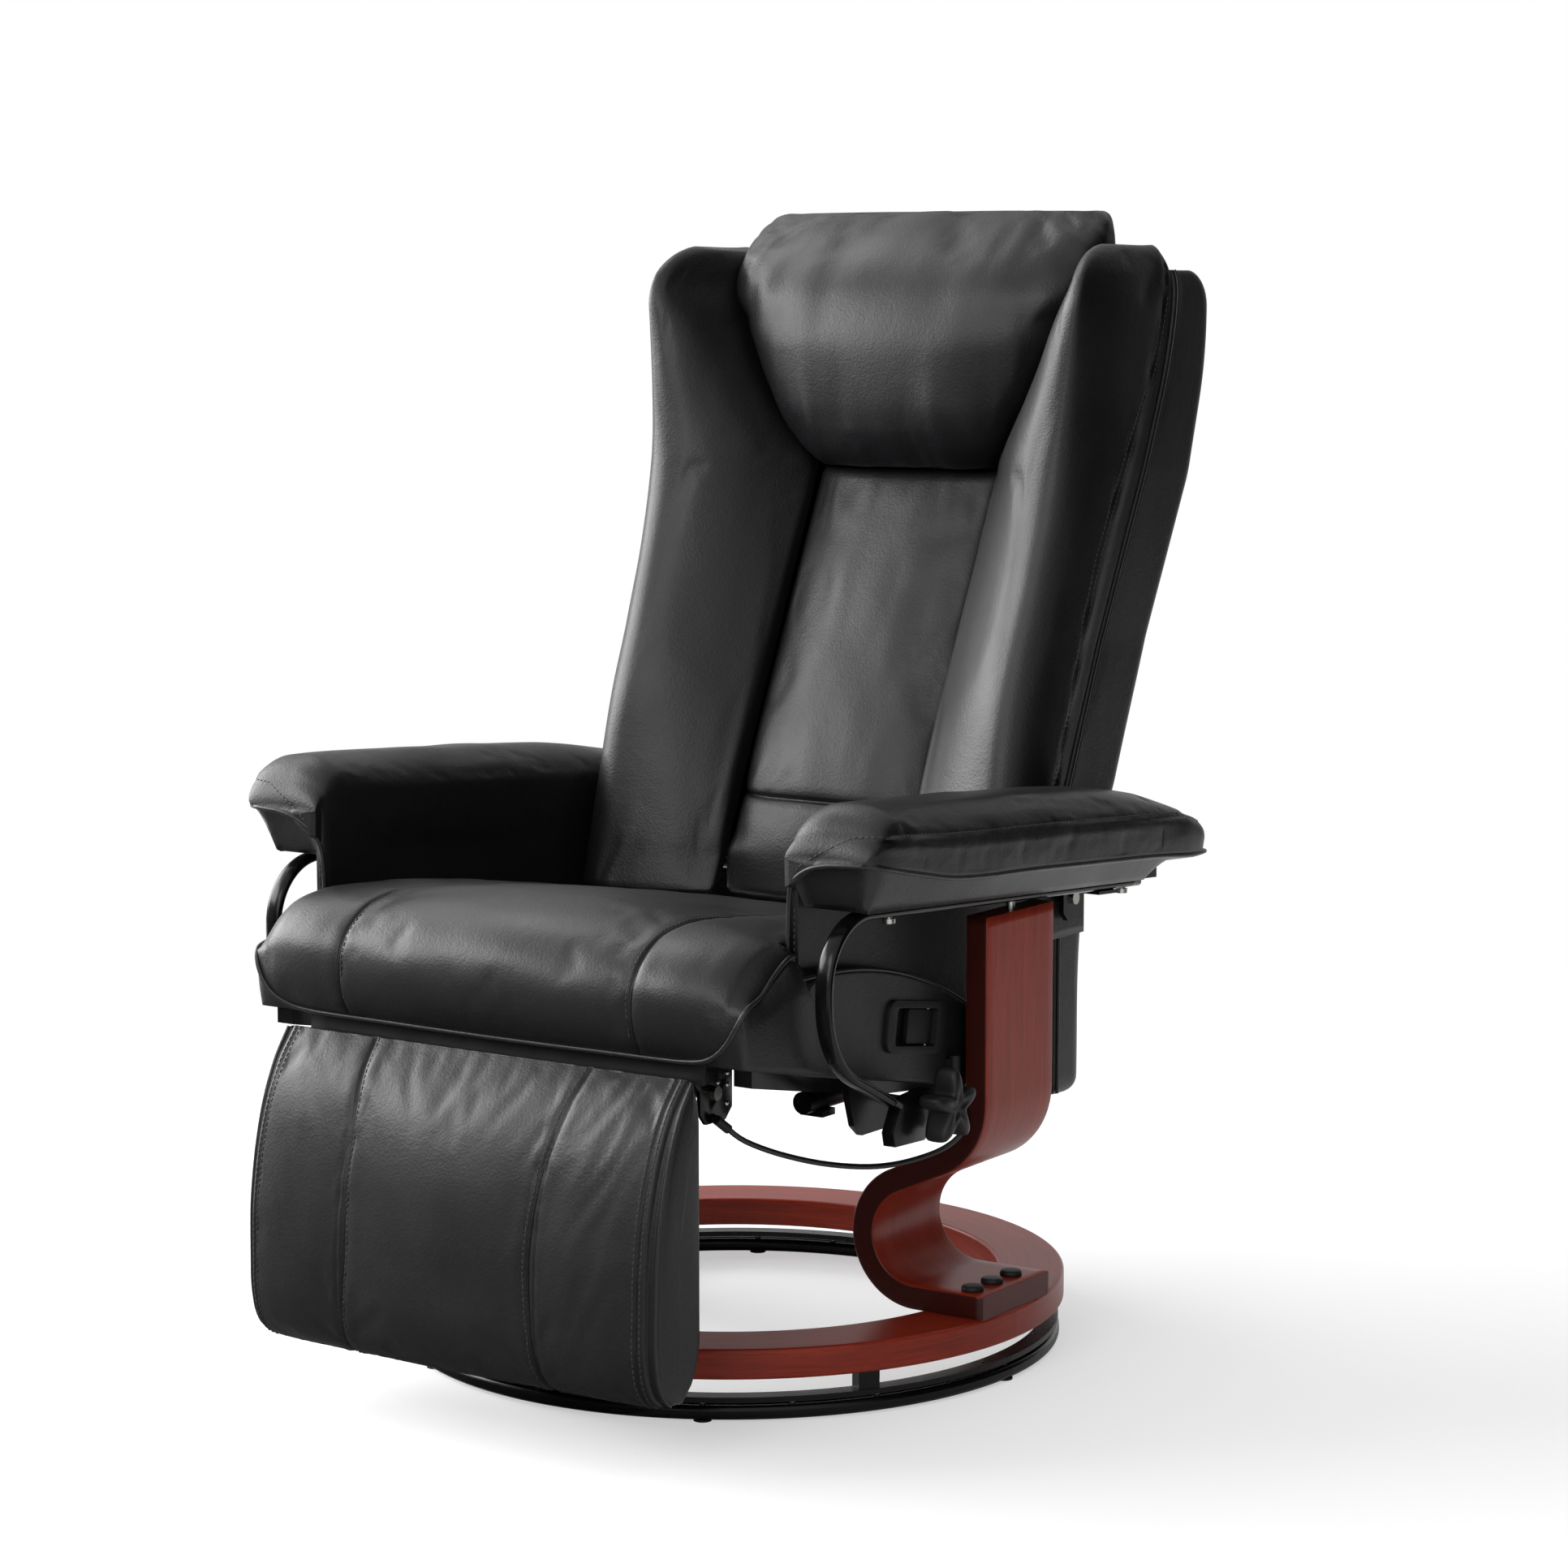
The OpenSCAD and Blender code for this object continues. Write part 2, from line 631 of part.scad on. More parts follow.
// Upholstered panel that closes the arm towards the seat
module arm_panel() difference() {
  side_plate(arm_in, arm_panel_t) polygon([
    [panel_front + 6, side_low(panel_front) + 55], [-28, side_low(-28) + 55], [100, 352], [118, 376],
    [panel_rear, 376], [panel_rear, pad_low(panel_rear) - 1], [0, pad_low(0) - 1], [-120, pad_low(-120) - 1],
    [-200, pad_low(-200) - 1], [panel_front, pad_low(panel_front) - 1]]);
  cross_bar(arm_in - 1, panel_out + 1, pivot_y, pivot_z, shaft_r + 3);
}

module arm_panel_left() color("#1d1d1e") arm_panel();
module arm_panel_right() color("#1d1d1e") mirror([1, 0, 0]) arm_panel();

// Bracket under the side tube that holds the back's pivot shaft
module pivot_bracket() {
  function under(y) = tube_mid(y) - tube_t / 2 / cos(tube_slope);
  y0 = pivot_y - 18;
  y1 = pivot_y + 18;
  side_plate(pivot_plate_x, pivot_plate_t) difference() {
    polygon([[y0, pivot_z - 12], [y0 + 8, pivot_z - 20], [y1 - 8, pivot_z - 20], [y1, pivot_z - 12],
      [y1, under(y1)], [y0, under(y0)]]);
    translate([pivot_y, pivot_z]) circle(r = shaft_r + fit);
  }
  side_plate(pivot_plate_x + pivot_plate_t, tube_x + tube_w / 2 - pivot_plate_x - pivot_plate_t)
    polygon([[y0, under(y0) - 3], [y1, under(y1) - 3], [y1, under(y1)], [y0, under(y0)]]);
}

module pivot_bracket_left() color("#161616") pivot_bracket();
module pivot_bracket_right() color("#161616") mirror([1, 0, 0]) pivot_bracket();

// Square tube across the frame, between two depths
module frame_tube(y0, x_half) {
  module band(e) polygon([[y0 + e, rail_low(y0 + e) + e], [y0 + rail_s - e, rail_low(y0 + rail_s - e) + e],
    [y0 + rail_s - e, rail_top(y0 + rail_s - e) - e], [y0 + e, rail_top(y0 + e) - e]]);
  side_plate(-x_half, 2 * x_half) difference() {
    band(0);
    band(rail_wall);
  }
}

// Two sloping runners, three cross tubes, a lower rail on each side and the ears of the link pins
module seat_frame() color("#161616") {
  difference() {
    both_sides() side_plate(rail_x0, rail_s) polygon([
      [rail_front, rail_low(rail_front)], [rail_back, rail_low(rail_back)],
      [rail_back, rail_top(rail_back)], [rail_front, rail_top(rail_front)]]);
    both_sides() side_plate(rail_x0 + rail_wall, rail_s - 2 * rail_wall) polygon([
      [rail_front - 1, rail_low(rail_front) + rail_wall], [rail_back + 1, rail_low(rail_back) + rail_wall],
      [rail_back + 1, rail_top(rail_back) - rail_wall], [rail_front - 1, rail_top(rail_front) - rail_wall]]);
    for (y = frame_ys) translate([-rail_x0 - rail_s - 1, y, 250])
      cube([2 * (rail_x0 + rail_s + 1), rail_s, 200]);
  }
  frame_tube(frame_ys[0], seat_w / 2);
  frame_tube(frame_ys[1], rail_x0 + rail_s);
  frame_tube(frame_ys[2], rail_x0 + rail_s);
  both_sides() side_plate(rail_x0 + rail_s + 15, 18) polygon([
    [rail_front, side_low(rail_front) - 14], [-205, side_low(-205) - 14], [-205, side_low(-205) + 4],
    [rail_front + 27, rail_low(rail_front + 12) + 1], [rail_front, rail_low(rail_front + 12) + 1]]);
  both_sides() side_plate(rail_x0 + rail_s, ear_t) difference() {
    union() {
      translate([link_y, link_z]) circle(r = 12);
      polygon([[link_y - 12, link_z], [link_y + 12, link_z], [rail_back, rail_top(rail_back)],
        [link_y - 40, rail_top(link_y - 40)], [link_y - 40, rail_low(link_y - 40)]]);
    }
    translate([link_y, link_z]) circle(r = link_pin_r + fit);
  }
}

// Elastic straps across the runners under the cushion
module seat_webbing() color("#3a3a38")
  for (y = strap_ys) side_plate(-rail_x0 - rail_s, 2 * (rail_x0 + rail_s)) {
    y1 = y + strap_w;
    polygon([[y, rail_top(y)], [y1, rail_top(y1)], [y1, rail_top(y1) + web_t], [y, rail_top(y) + web_t]]);
  }

// Seat cushion: a rolled front, a top that falls towards the back, two sewn seams and a T plan
function seat_deck(y) = rail_top(y) + web_t + deck_gap;
function seat_round(x) = let (t = max(0, (abs(x) - seat_w / 2 + 34) / 34)) 1 - sqrt(max(0, 1 - t * t));
function seat_end(a) = lookup(a, [
  [-30, 0], [-15, 6], [0, 30], [15, 34], [30, 36], [45, 34], [60, 31], [75, 27], [90, 23]]);
// How far the leather lies inside the full section at a place across the seat and an angle of the roll
function seat_inset(x, a) = let (e = seat_round(x))
  e * seat_end(a) + lookup(a, [[-45, 0], [0, 1]])
    * ((1 - e) * seat_crown * pow(2 * x / seat_w, 2) + (abs(abs(x) - seam_x) < 1 ? seam_depth : 0));
function seat_line(y) = seat_top - 62 * pow(max(0, (y - roll_y) / (seat_rear - roll_y)), 1.3);

function seat_section(x, back) = let (
  c = seat_inset(x, 90), mid = seat_low + 43, lift = c * 0.1,
  fade = 1 - 0.5 * max(0, (back - roll_y) / (seat_rear - roll_y)),
  run = max(back - 14 - roll_y, (back - 6 - roll_y) * 0.9))
  concat(
    [[lip_y, seat_low + lift]],
    [for (a = [-45:15:75]) let (inset = seat_inset(x, a)) [
      roll_y - (roll_y + seat_front - inset) * cos(a),
      mid + (a < 0 ? roll_drop * sin(a) : (seat_top - inset - mid) * sin(a)) + (a < -30 ? lift : 0)]],
    [for (s = [0:0.2:0.8]) let (y = roll_y + s * run)
      [y, seat_line(y) - c * (1 - 0.45 * (y - roll_y) / (seat_rear - 14 - roll_y))]],
    [[back - 6, seat_line(back) - 4 - c * fade], [back, seat_line(back) - 16 - c * fade],
     [back, seat_deck(back) + 8], [back - 5, seat_deck(back - 5)]],
    [for (s = [0.25:0.25:1]) let (y = back - 5 + s * (lip_y - back + 5)) [y, seat_deck(y)]]);

module seat_cushion() color("#232324") {
  half = seat_w / 2;
  rear_half = seat_rear_w / 2;
  inner = [rear_half, rear_half - 6, 225, 190, seam_x + 8, seam_x, seam_x - 8, 110, 50];
  right = concat([for (x = [half, half - 2, half - 7, rear_half + 1]) [x, wing_rear]],
    [for (x = inner) [x, seat_rear]]);
  left = [for (i = [len(right) - 1:-1:0]) [-right[i][0], right[i][1]]];
  skin([for (s = concat(right, [[0, seat_rear]], left))
    [for (p = seat_section(s[0], s[1])) [s[0], p[0], p[1]]]]);
}

// Upholstered side panel with an arched top edge, and a pocket where it takes the handle
module seat_side() side_plate(side_x0, side_t) polygon(concat(
  arc(-268, -92, 496, 90, 60, 8), [[-15, 325], [-15, side_low(-15)], [lip_y - 7, side_low(lip_y - 7)]],
  [[lip_y - 9, 365], [lip_y - 5, 392], [lip_y + 5, 412], [lip_y + 27, 424], [lip_y + 55, 418]]));

module at_handle() translate([side_x1, handle_y, handle_z]) rotate([-handle_tilt, 0, 0]) children();

// Rounded plate in the handle's own plane, from depth x0 outwards
module handle_block(x0, t, w, h, r) translate([x0, 0, 0]) rotate([90, 0, 90]) linear_extrude(t) {
  square([w - 2 * r, h], center = true);
  square([w, h - 2 * r], center = true);
  for (u = [-1, 1], v = [-1, 1]) translate([u * (w / 2 - r), v * (h / 2 - r)]) circle(r = r);
}

module seat_side_left() color("#1d1d1e") difference() {
  seat_side();
  at_handle() handle_block(-tub_depth, tub_depth + 1, open_w + 2 * tub_wall + slot_gap,
    open_h + 2 * tub_wall + slot_gap, 5);
}

module seat_side_right() color("#1d1d1e") mirror([1, 0, 0]) seat_side();

// Bezel and finger cup of the release handle
module handle_bezel() color("#1a1a1a") at_handle() difference() {
  union() {
    handle_block(0, handle_proud, handle_w, handle_h, 12);
    handle_block(-tub_depth, tub_depth, open_w + 2 * tub_wall, open_h + 2 * tub_wall, 5);
  }
  handle_block(-tub_depth + 1.5, tub_depth + handle_proud, open_w, open_h, 4);
  translate([paddle_x, paddle_pin_y, -open_h / 2 - 2]) cylinder(r = paddle_pin_r + fit, h = open_h + 4);
}

module paddle_pin() color("#b8b8b8") at_handle()
  translate([paddle_x, paddle_pin_y, -open_h / 2 - 2]) cylinder(r = paddle_pin_r, h = open_h + 4);

// Pull paddle, hinged at its rear edge inside the cup
module release_paddle() color("#262626") at_handle() difference() {
  translate([0, open_w / 2 - paddle_w / 2 - paddle_gap, 0])
    handle_block(paddle_x - paddle_t / 2, paddle_t, paddle_w, open_h - 2 * paddle_gap, 2);
  translate([paddle_x, paddle_pin_y, -open_h]) cylinder(r = paddle_pin_r + fit, h = 2 * open_h);
}

// Plates that slide in the clamps, each with a slot along the runners' slope
module slide_plate() {
  slot = seat_travel * [cos(runner_slope), -sin(runner_slope)];
  side_plate(slide_x0, slide_t) difference() {
    polygon([[-205, 290], [-196, 262], [-184, 252], [-84, 252], [-66, 262], [-66, rail_low(-66) + 11],
      [-205, rail_low(-205) + 11]]);
    for (end = [[0, 0], slot]) translate([clamp_y, clamp_z] + end) circle(r = screw_d / 2 + slot_gap);
    translate([clamp_y, clamp_z]) rotate(-runner_slope)
      translate([0, -screw_d / 2 - slot_gap]) square([seat_travel, screw_d + 2 * slot_gap]);
  }
  for (y = [-188, -86]) cross_bar(rail_x0 + rail_s, slide_x0, y, rail_low(y) + 6, 5);
}

module slide_plate_left() color("#141414") slide_plate();
module slide_plate_right() color("#141414") mirror([1, 0, 0]) slide_plate();

module link_pins() color("#b8b8b8") both_sides()
  cross_bar(rail_x0 + rail_s, plate_x1 + 1, link_y, link_z, link_pin_r);

// Swept round tube through points, smoothed between them
function along(p, i, t) = let (
  n = len(p) - 1, a = p[max(i - 1, 0)], b = p[i], c = p[min(i + 1, n)], d = p[min(i + 2, n)])
  0.5 * ((2 * b) + (c - a) * t + (2 * a - 5 * b + 4 * c - d) * t * t + (3 * b - a - 3 * c + d) * t * t * t);
function unit(v) = v / norm(v);

function cable_line(route) = let (n = len(route) - 1)
  concat([for (i = [0:n - 1], k = [0:cable_steps - 1]) along(route, i, k / cable_steps)], [route[n]]);

module swept_tube(pts, d, sides) {
  m = len(pts) - 1;
  skin([for (i = [0:m]) let (
    t = unit(pts[min(i + 1, m)] - pts[max(i - 1, 0)]), u = unit(cross([1, -0.5, 0], t)), v = cross(t, u))
    [for (k = [0:sides - 1]) pts[i] + d / 2 * (cos(360 * k / sides) * u + sin(360 * k / sides) * v)]]);
}

module release_cable() color("#101010") swept_tube(cable_line(cable_route), cable_d, 8);

// Round bar from a to b
module bar(a, b, r) {
  d = b - a;
  translate(a) rotate([0, acos(d[2] / norm(d)), atan2(d[1], d[0])]) cylinder(r = r, h = norm(d));
}

module cable_glands() color("#1a1a1a") {
  pts = cable_line(cable_route);
  m = len(pts) - 1;
  bar(pts[0], pts[0] + 20 * unit(pts[0] - pts[1]), 5);
  bar(pts[m], pts[m] + 17 * unit(pts[m] - pts[m - 1]), 4.2);
  translate([side_x1, -69, 287]) cube([5, 10, 14]);
  translate([hanger_x + hanger_t, -293, 273]) cube([5, 8, 5]);
}

// Latch under the seat that the cable frees
module latch_housing() color("#181818") {
  side_plate(184, 5) polygon([[-118, 262], [-96, 262], [-96, rail_low(-96)], [-118, rail_low(-118)]]);
  translate([180, -150, 264]) rotate([-90, 0, 0]) cylinder(r = 10, h = 86);
  translate([168, -136, 250]) cube([24, 20, 6]);
}

// Plates under the front tube that carry the footrest's hinge rod
module footrest_hangers() color("#161616") both_sides() side_plate(hanger_x, hanger_t) difference() {
  y0 = rail_front + 2;
  y1 = rail_front + rail_s - 2;
  polygon([[y0, rail_low(y0)], [y1, rail_low(y1)], [-262, 316], [-262, 282], [-272, 272],
    [-300, 272], [-309, 282], [-309, 302], [y0, 328]]);
  translate([hinge_y, hinge_z]) circle(r = rod_r + fit);
}

module hinge_rod() color("#b8b8b8")
  cross_bar(-hanger_x - hanger_t - 5, hanger_x + hanger_t + 5, hinge_y, hinge_z, rod_r);

module swing_arms() color("#181818") {
  bar_at = 0.25;
  both_sides() side_plate(arm_x0, link_strip_t)
    link_outline([hinge_y, hinge_z], [elbow_y, elbow_z], rod_r, pin_r);
  cross_bar(-arm_x0, arm_x0, hinge_y + (elbow_y - hinge_y) * bar_at,
    hinge_z + (elbow_z - hinge_z) * bar_at, rod_r);
}

module elbow_pins() color("#b8b8b8") both_sides()
  cross_bar(link_x0 - 2, arm_x0 + link_strip_t + 2, elbow_y, elbow_z, pin_r);

module front_links() color("#181818") both_sides() side_plate(link_x0, link_strip_t)
  link_outline([elbow_y, elbow_z], [ear_y, ear_z], pin_r, pin_r);

module ear_pins() color("#b8b8b8") both_sides()
  cross_bar(ear_x0 - 2, link_x0 + link_strip_t + 0.5, ear_y, ear_z, pin_r);

module footrest_ears() color("#181818") both_sides() {
  side_plate(ear_x0, link_strip_t) difference() {
    union() {
      translate([ear_y, ear_z]) circle(r = strip_r);
      polygon([[board_back, ear_z - 40], [board_back, ear_z + 6], [ear_y, ear_z + strip_r],
        [ear_y + 3, ear_z - strip_r + 0.5]]);
    }
    translate([ear_y, ear_z]) circle(r = pin_r + fit);
  }
  translate([ear_x0 - 20, board_back, ear_z - 40]) cube([20, 4, 46]);
}

module footrest_board() color("#2a2018")
  translate([-foot_w / 2 + 25, foot_back, foot_low + 23])
    cube([foot_w - 50, foot_board_t, foot_high - foot_low - 49]);

// Footrest pad: a lens in side view, fullest near its lower edge, crowned across
function foot_bulge(s) = lookup(s, [
  [0, 0.72], [0.03, 0.84], [0.1, 0.95], [0.2, 1], [0.4, 0.97], [0.55, 0.91], [0.75, 0.7], [0.9, 0.46],
  [1, 0.2]]);
function foot_rear(s) = lookup(s, [
  [0, -24], [0.04, -12], [0.1, -4], [0.16, -seat_gap], [0.9, -seat_gap], [1, -9]]);
module footrest_pad() color("#232324") {
  half = foot_w / 2;
  xs = [half, half - 2, half - 8, half - 22, 170, 118, 112, 106, 60, 0];
  all = concat(xs, [for (i = [len(xs) - 2:-1:0]) -xs[i]]);
  skin([for (x = all) let (
    edge = max(0, (abs(x) - half + 22) / 22), round = 1 - sqrt(1 - edge * edge * 0.98),
    full = 1 - 0.14 * pow(abs(x) / half, 2) - 0.16 * round - (abs(abs(x) - 112) < 1 ? 0.04 : 0),
    low = foot_low + 5 * round, high = foot_high - 5 * round)
    concat(
      [for (s = [0, 0.03, 0.1, 0.2, 0.4, 0.55, 0.75, 0.9, 1]) [
        x, foot_back - foot_t * full * foot_bulge(s), low + s * (high - low)]],
      [for (s = [1, 0.9, 0.5, 0.16, 0.1, 0.04, 0]) let (lift = s == 0 ? 1.5 : s == 1 ? 1 : 0) [
        x, foot_back + foot_rear(s) - 2 * round, low + s * (high - low) + lift]])]);
}

// Side plates and cross rails inside the rear shell, with slots for the link pins
module back_frame() color("#1a1a1a") {
  front_zs = [402, 520, 640, 760, curl_from, 938];
  slot_r = link_pin_r + 1.2;
  reach = 5;
  rail_in = 21;
  tip = unit([link_y - pivot_y, link_z - pivot_z]);
  both_sides() side_plate(plate_x0, plate_t) difference() {
    polygon(concat(
      [for (z = front_zs) [back_line(z) + 2, z]],
      [for (i = [len(front_zs) - 1:-1:1]) [back_line(front_zs[i]) + tray_depth - 1, front_zs[i]]],
      [[back_line(430) + tray_depth - 1, 430], [link_y + 16, 395], [link_y + 13, link_z - 12],
       [link_y - 13, link_z - 12], [link_y - 14, 392]]));
    translate([pivot_y, pivot_z]) circle(r = shaft_r + fit);
    for (k = [-1, 1]) translate([link_y, link_z] + k * reach * tip) circle(r = slot_r);
    translate([link_y, link_z]) rotate(atan2(tip[1], tip[0])) translate([-reach, -slot_r])
      square([2 * reach, 2 * slot_r]);
  }
  for (z = [445:90:895]) side_plate(-plate_x0, 2 * plate_x0) polygon([
    [back_line(z) + rail_in, z], [back_line(z) + rail_in + 10, z],
    [back_line(z + 34) + rail_in + 10, z + 34], [back_line(z + 34) + rail_in, z + 34]]);
}

module back_cushion() color("#232324") {
  half = middle_w / 2;
  zs = [cushion_low, cushion_low + 4, 424, 455, lumbar_z - 6, lumbar_z, lumbar_z + 6, 520, 580, 660, 740,
    middle_top - 6, middle_top];
  skin([for (z = zs) let (
    end = (z == zs[0] || z == middle_top) ? 7 : 0, seam = z == lumbar_z ? 6 : 0)
    [for (p = loop(-half + end * 0.4, half - end * 0.4, middle_front(z) + end + seam,
      z < 430 ? pivot_y - shaft_r - 2 : back_line(z) + 20, 5, 24)) [p[0], p[1], z]]]);
}

// Where a bolster meets the middle cushion or the pillow
function valley(z) = z < pillow_low ? middle_front(z) + 3
  : pillow_front(z) + lookup(z, [[pillow_low, 26], [830, 36]]);

// Section of a bolster, drawn as [x, y]: a gentle slope up to a ridge, then the rounded outer side
function bolster_section(x0, x1, front, back, low_line) = let (
  w = x1 - x0, ridge = x0 + ridge_part * w, flank = back - flank_in, inner = min(low_line, back - 14))
  concat(
    [[x1, flank], [x1, back - 8], [x1 - 2.5, back - 2.5], [x1 - 8, back], [x0 + 8, back], [x0 + 1, back - 3],
     [x0, back - 8], [x0, inner]],
    [for (s = [0.1, 0.22, 0.36, 0.52, ridge_part])
      [x0 + s * w, front + (inner - front) * pow(1 - s / ridge_part, 1.25)]],
    [for (a = [14:12.5:76.5])
      [ridge + (x1 - ridge) * pow(sin(a), 0.77), flank - (flank - front) * pow(cos(a), 0.77)]]);

// Side bolster: slim beside the arms and deep beside the head
module bolster() {
  zs = [cushion_low, cushion_low + 5, 430, 480, 530, 590, 650, 710, 760, middle_top, 821, 858, 877, 896,
    918, 940, 965, 985, 1000, 1008, bolster_top];
  skin([for (z = zs) let (
    inner = z <= middle_top ? middle_w / 2 + 0.6 : pillow_half(z) + 0.8,
    top = z > 960 ? 1 - sqrt(max(0, 1 - pow((z - 960) / (bolster_top - 960 + 1), 2))) : 0,
    low = z < 392 ? 5 - (z - cushion_low) : 0)
    [for (p = bolster_section(inner + low + 12 * top, half_back(z) - 0.4 - low - 14 * top,
      bolster_front(z) + low + 70 * top, back_line(z) - (z > 865 ? 1.4 : 0.5) - 16 * top, valley(z)))
      [p[0], p[1], z]]]);
}

module bolster_left() color("#232324") bolster();
module bolster_right() color("#232324") mirror([1, 0, 0]) bolster();

// Head pillow: narrow below, wide above, standing over the top of the shell
module head_pillow() color("#232324") {
  zs = [pillow_low, 803, 815, 835, 860, 890, 920, 945, 960, 985, 1005, 1022, 1035, head_top];
  skin([for (z = zs) let (
    end = lookup(z, [[pillow_low, 10], [803, 4], [815, 0], [1022, 0], [1035, 8], [head_top, 30]]),
    rear = z < 945 ? back_line(z) + 20
      : lookup(z, [[945, back_line(945) + 20], [960, back_line(960) - 1.5], [1005, 375], [head_top, 378]]))
    [for (p = loop(-pillow_half(z) + end, pillow_half(z) - end, pillow_front(z) + (z < 815 ? end : 0),
      rear - end * 0.3, 3.4, 32)) [p[0], p[1], z]]]);
}

// Closed loop of the shell at one height: flat front, rounded rear corners
function shell_loop(w, y0, y1, r, z) = [for (p = concat(
  [[w, y0]], arc(w - r, y1 - r, r, 0, 90, 4), arc(-w + r, y1 - r, r, 90, 180, 4), [[-w, y0]]))
  [p[0], p[1], z]];

// Upholstered rear shell, hollow behind the cushions
module rear_shell() color("#1d1d1e") difference() {
  zs = [skirt_low, skirt_low + 4, skirt_low + 14, 300, skirt_top, 408, 430, 505, 600, 700, 800, 865, 920,
    960, 978, shell_top];
  skin([for (z = zs) let (
    top = z > 955 ? 1 - sqrt(max(0, 1 - pow((z - 955) / (shell_top - 955 + 1), 2))) : 0,
    low = lookup(z, [[skirt_low, 9], [skirt_low + 4, 4], [skirt_low + 14, 0]]))
    shell_loop(half_back(z) - low - 8 * top, shell_front(z) + low, shell_rear(z) - low - 30 * top, 26, z)]);
  skin([for (z = [skirt_low + 18, skirt_top, 430, 505, 600, 700, 800, 865, 920, 962])
    let (y0 = shell_front(z) - 40, y1 = z < 400 ? skirt_rear - 14 : back_line(z) + tray_depth)
      [[void_x, y0, z], [void_x, y1, z], [-void_x, y1, z], [-void_x, y0, z]]]);
  cross_bar(-back_w, back_w, pivot_y, pivot_z, shaft_r + 0.5);
}

module pivot_shaft() color("#b8b8b8") {
  x = pivot_plate_x + pivot_plate_t + 3;
  cross_bar(-x, x, pivot_y, pivot_z, shaft_r);
}

floor_glides();
floor_ring();
bearing_balls();
turn_ring();
ring_posts();
wood_ring();
leg_left();
leg_right();
leg_caps();
leg_bolts();
cross_beam();
beam_bolts();
runner_pads();
side_tube_left();
side_tube_right();
tube_bolts();
clamp_bracket_left();
clamp_bracket_right();
arm_board_left();
arm_board_right();
arm_pad_left();
arm_pad_right();
arm_panel_left();
arm_panel_right();
pivot_bracket_left();
pivot_bracket_right();
clamp_screw_left();
clamp_screw_right();
knob_left();
knob_right();
seat_frame();
seat_webbing();
seat_cushion();
seat_side_left();
seat_side_right();
slide_plate_left();
slide_plate_right();
link_pins();
handle_bezel();
paddle_pin();
release_paddle();
release_cable();
cable_glands();
latch_housing();
footrest_hangers();
hinge_rod();
swing_arms();
elbow_pins();
front_links();
ear_pins();
footrest_ears();
footrest_board();
footrest_pad();
back_frame();
back_cushion();
bolster_left();
bolster_right();
head_pillow();
rear_shell();
pivot_shaft();
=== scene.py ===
import json
import math

import bpy
import numpy as np
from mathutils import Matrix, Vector, noise


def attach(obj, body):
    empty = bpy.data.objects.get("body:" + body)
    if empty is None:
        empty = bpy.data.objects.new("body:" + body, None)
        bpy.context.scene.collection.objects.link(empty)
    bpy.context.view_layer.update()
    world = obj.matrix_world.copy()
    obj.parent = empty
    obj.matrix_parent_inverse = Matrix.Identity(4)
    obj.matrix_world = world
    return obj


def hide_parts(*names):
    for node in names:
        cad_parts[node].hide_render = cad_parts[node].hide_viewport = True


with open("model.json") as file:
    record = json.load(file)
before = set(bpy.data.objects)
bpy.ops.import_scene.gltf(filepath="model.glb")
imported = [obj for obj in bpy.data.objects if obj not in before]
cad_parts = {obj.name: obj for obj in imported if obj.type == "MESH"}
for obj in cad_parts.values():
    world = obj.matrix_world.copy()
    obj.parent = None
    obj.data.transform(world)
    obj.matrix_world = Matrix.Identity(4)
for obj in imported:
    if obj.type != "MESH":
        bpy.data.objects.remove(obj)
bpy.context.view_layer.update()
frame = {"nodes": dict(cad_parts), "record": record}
bpy.ops.object.select_all(action="DESELECT")

MM = 0.001
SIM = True


# Camera, light and floor

def hex_rgb(text):
    """sRGB hex to linear colour"""
    vals = [int(text[i:i + 2], 16) / 255 for i in (1, 3, 5)]
    return tuple(v / 12.92 if v <= 0.04045 else ((v + 0.055) / 1.055) ** 2.4 for v in vals) + (1.0,)


def put(name, data):
    """An object in the scene that shows the data"""
    obj = bpy.data.objects.new(name, data)
    bpy.context.collection.objects.link(obj)
    return obj


cam_data = bpy.data.cameras.new("camera")
cam_data.sensor_width = 36
cam_data.lens = 89.9
camera = put("camera", cam_data)
camera.location = (2.056, -2.9347, 0.9788)
camera.rotation_euler = (math.radians(90 - 7.356), 0, math.radians(34.24))
bpy.context.scene.camera = camera
bpy.context.scene.view_settings.view_transform = "Standard"


def lamp(name, place, target, size, power):
    data = bpy.data.lights.new(name, "AREA")
    data.shape = "RECTANGLE"
    data.size, data.size_y = size
    data.energy = power
    obj = put(name, data)
    obj.location = place
    obj.rotation_euler = (Vector(target) - Vector(place)).to_track_quat("-Z", "Y").to_euler()


lamp("key_softbox", (-3.15, -1.25, 1.85), (0, 0, 0.65), (4.2, 2.2), 310)
lamp("front_strip", (0.9, -3.5, 1.9), (0, 0, 0.7), (1.8, 1.8), 38)
lamp("top_softbox", (-1.9, 0.4, 3.2), (0, 0, 0.5), (1.4, 1.4), 26)
lamp("front_fill", (-0.2, -3.4, 3.0), (0, 0, 0.6), (1.8, 0.9), 24)
sky_data = bpy.data.lights.new("overhead_skylight", "SUN")
sky_data.energy = 0.8
sky_data.angle = math.radians(75)
sky_lamp = put("overhead_skylight", sky_data)
sky_lamp.rotation_euler = (math.radians(-16), math.radians(-12), 0)
sky_lamp.visible_glossy = False


def add(tree, kind, links=(), **values):
    """A node with its settings, input values and links"""
    node = tree.nodes.new("ShaderNode" + kind)
    for key, value in values.items():
        if hasattr(node, key):
            setattr(node, key, value)
        else:
            node.inputs[key.replace("_", " ")].default_value = value
    for socket, source in dict(links).items():
        tree.links.new(source, node.inputs[socket])
    return node


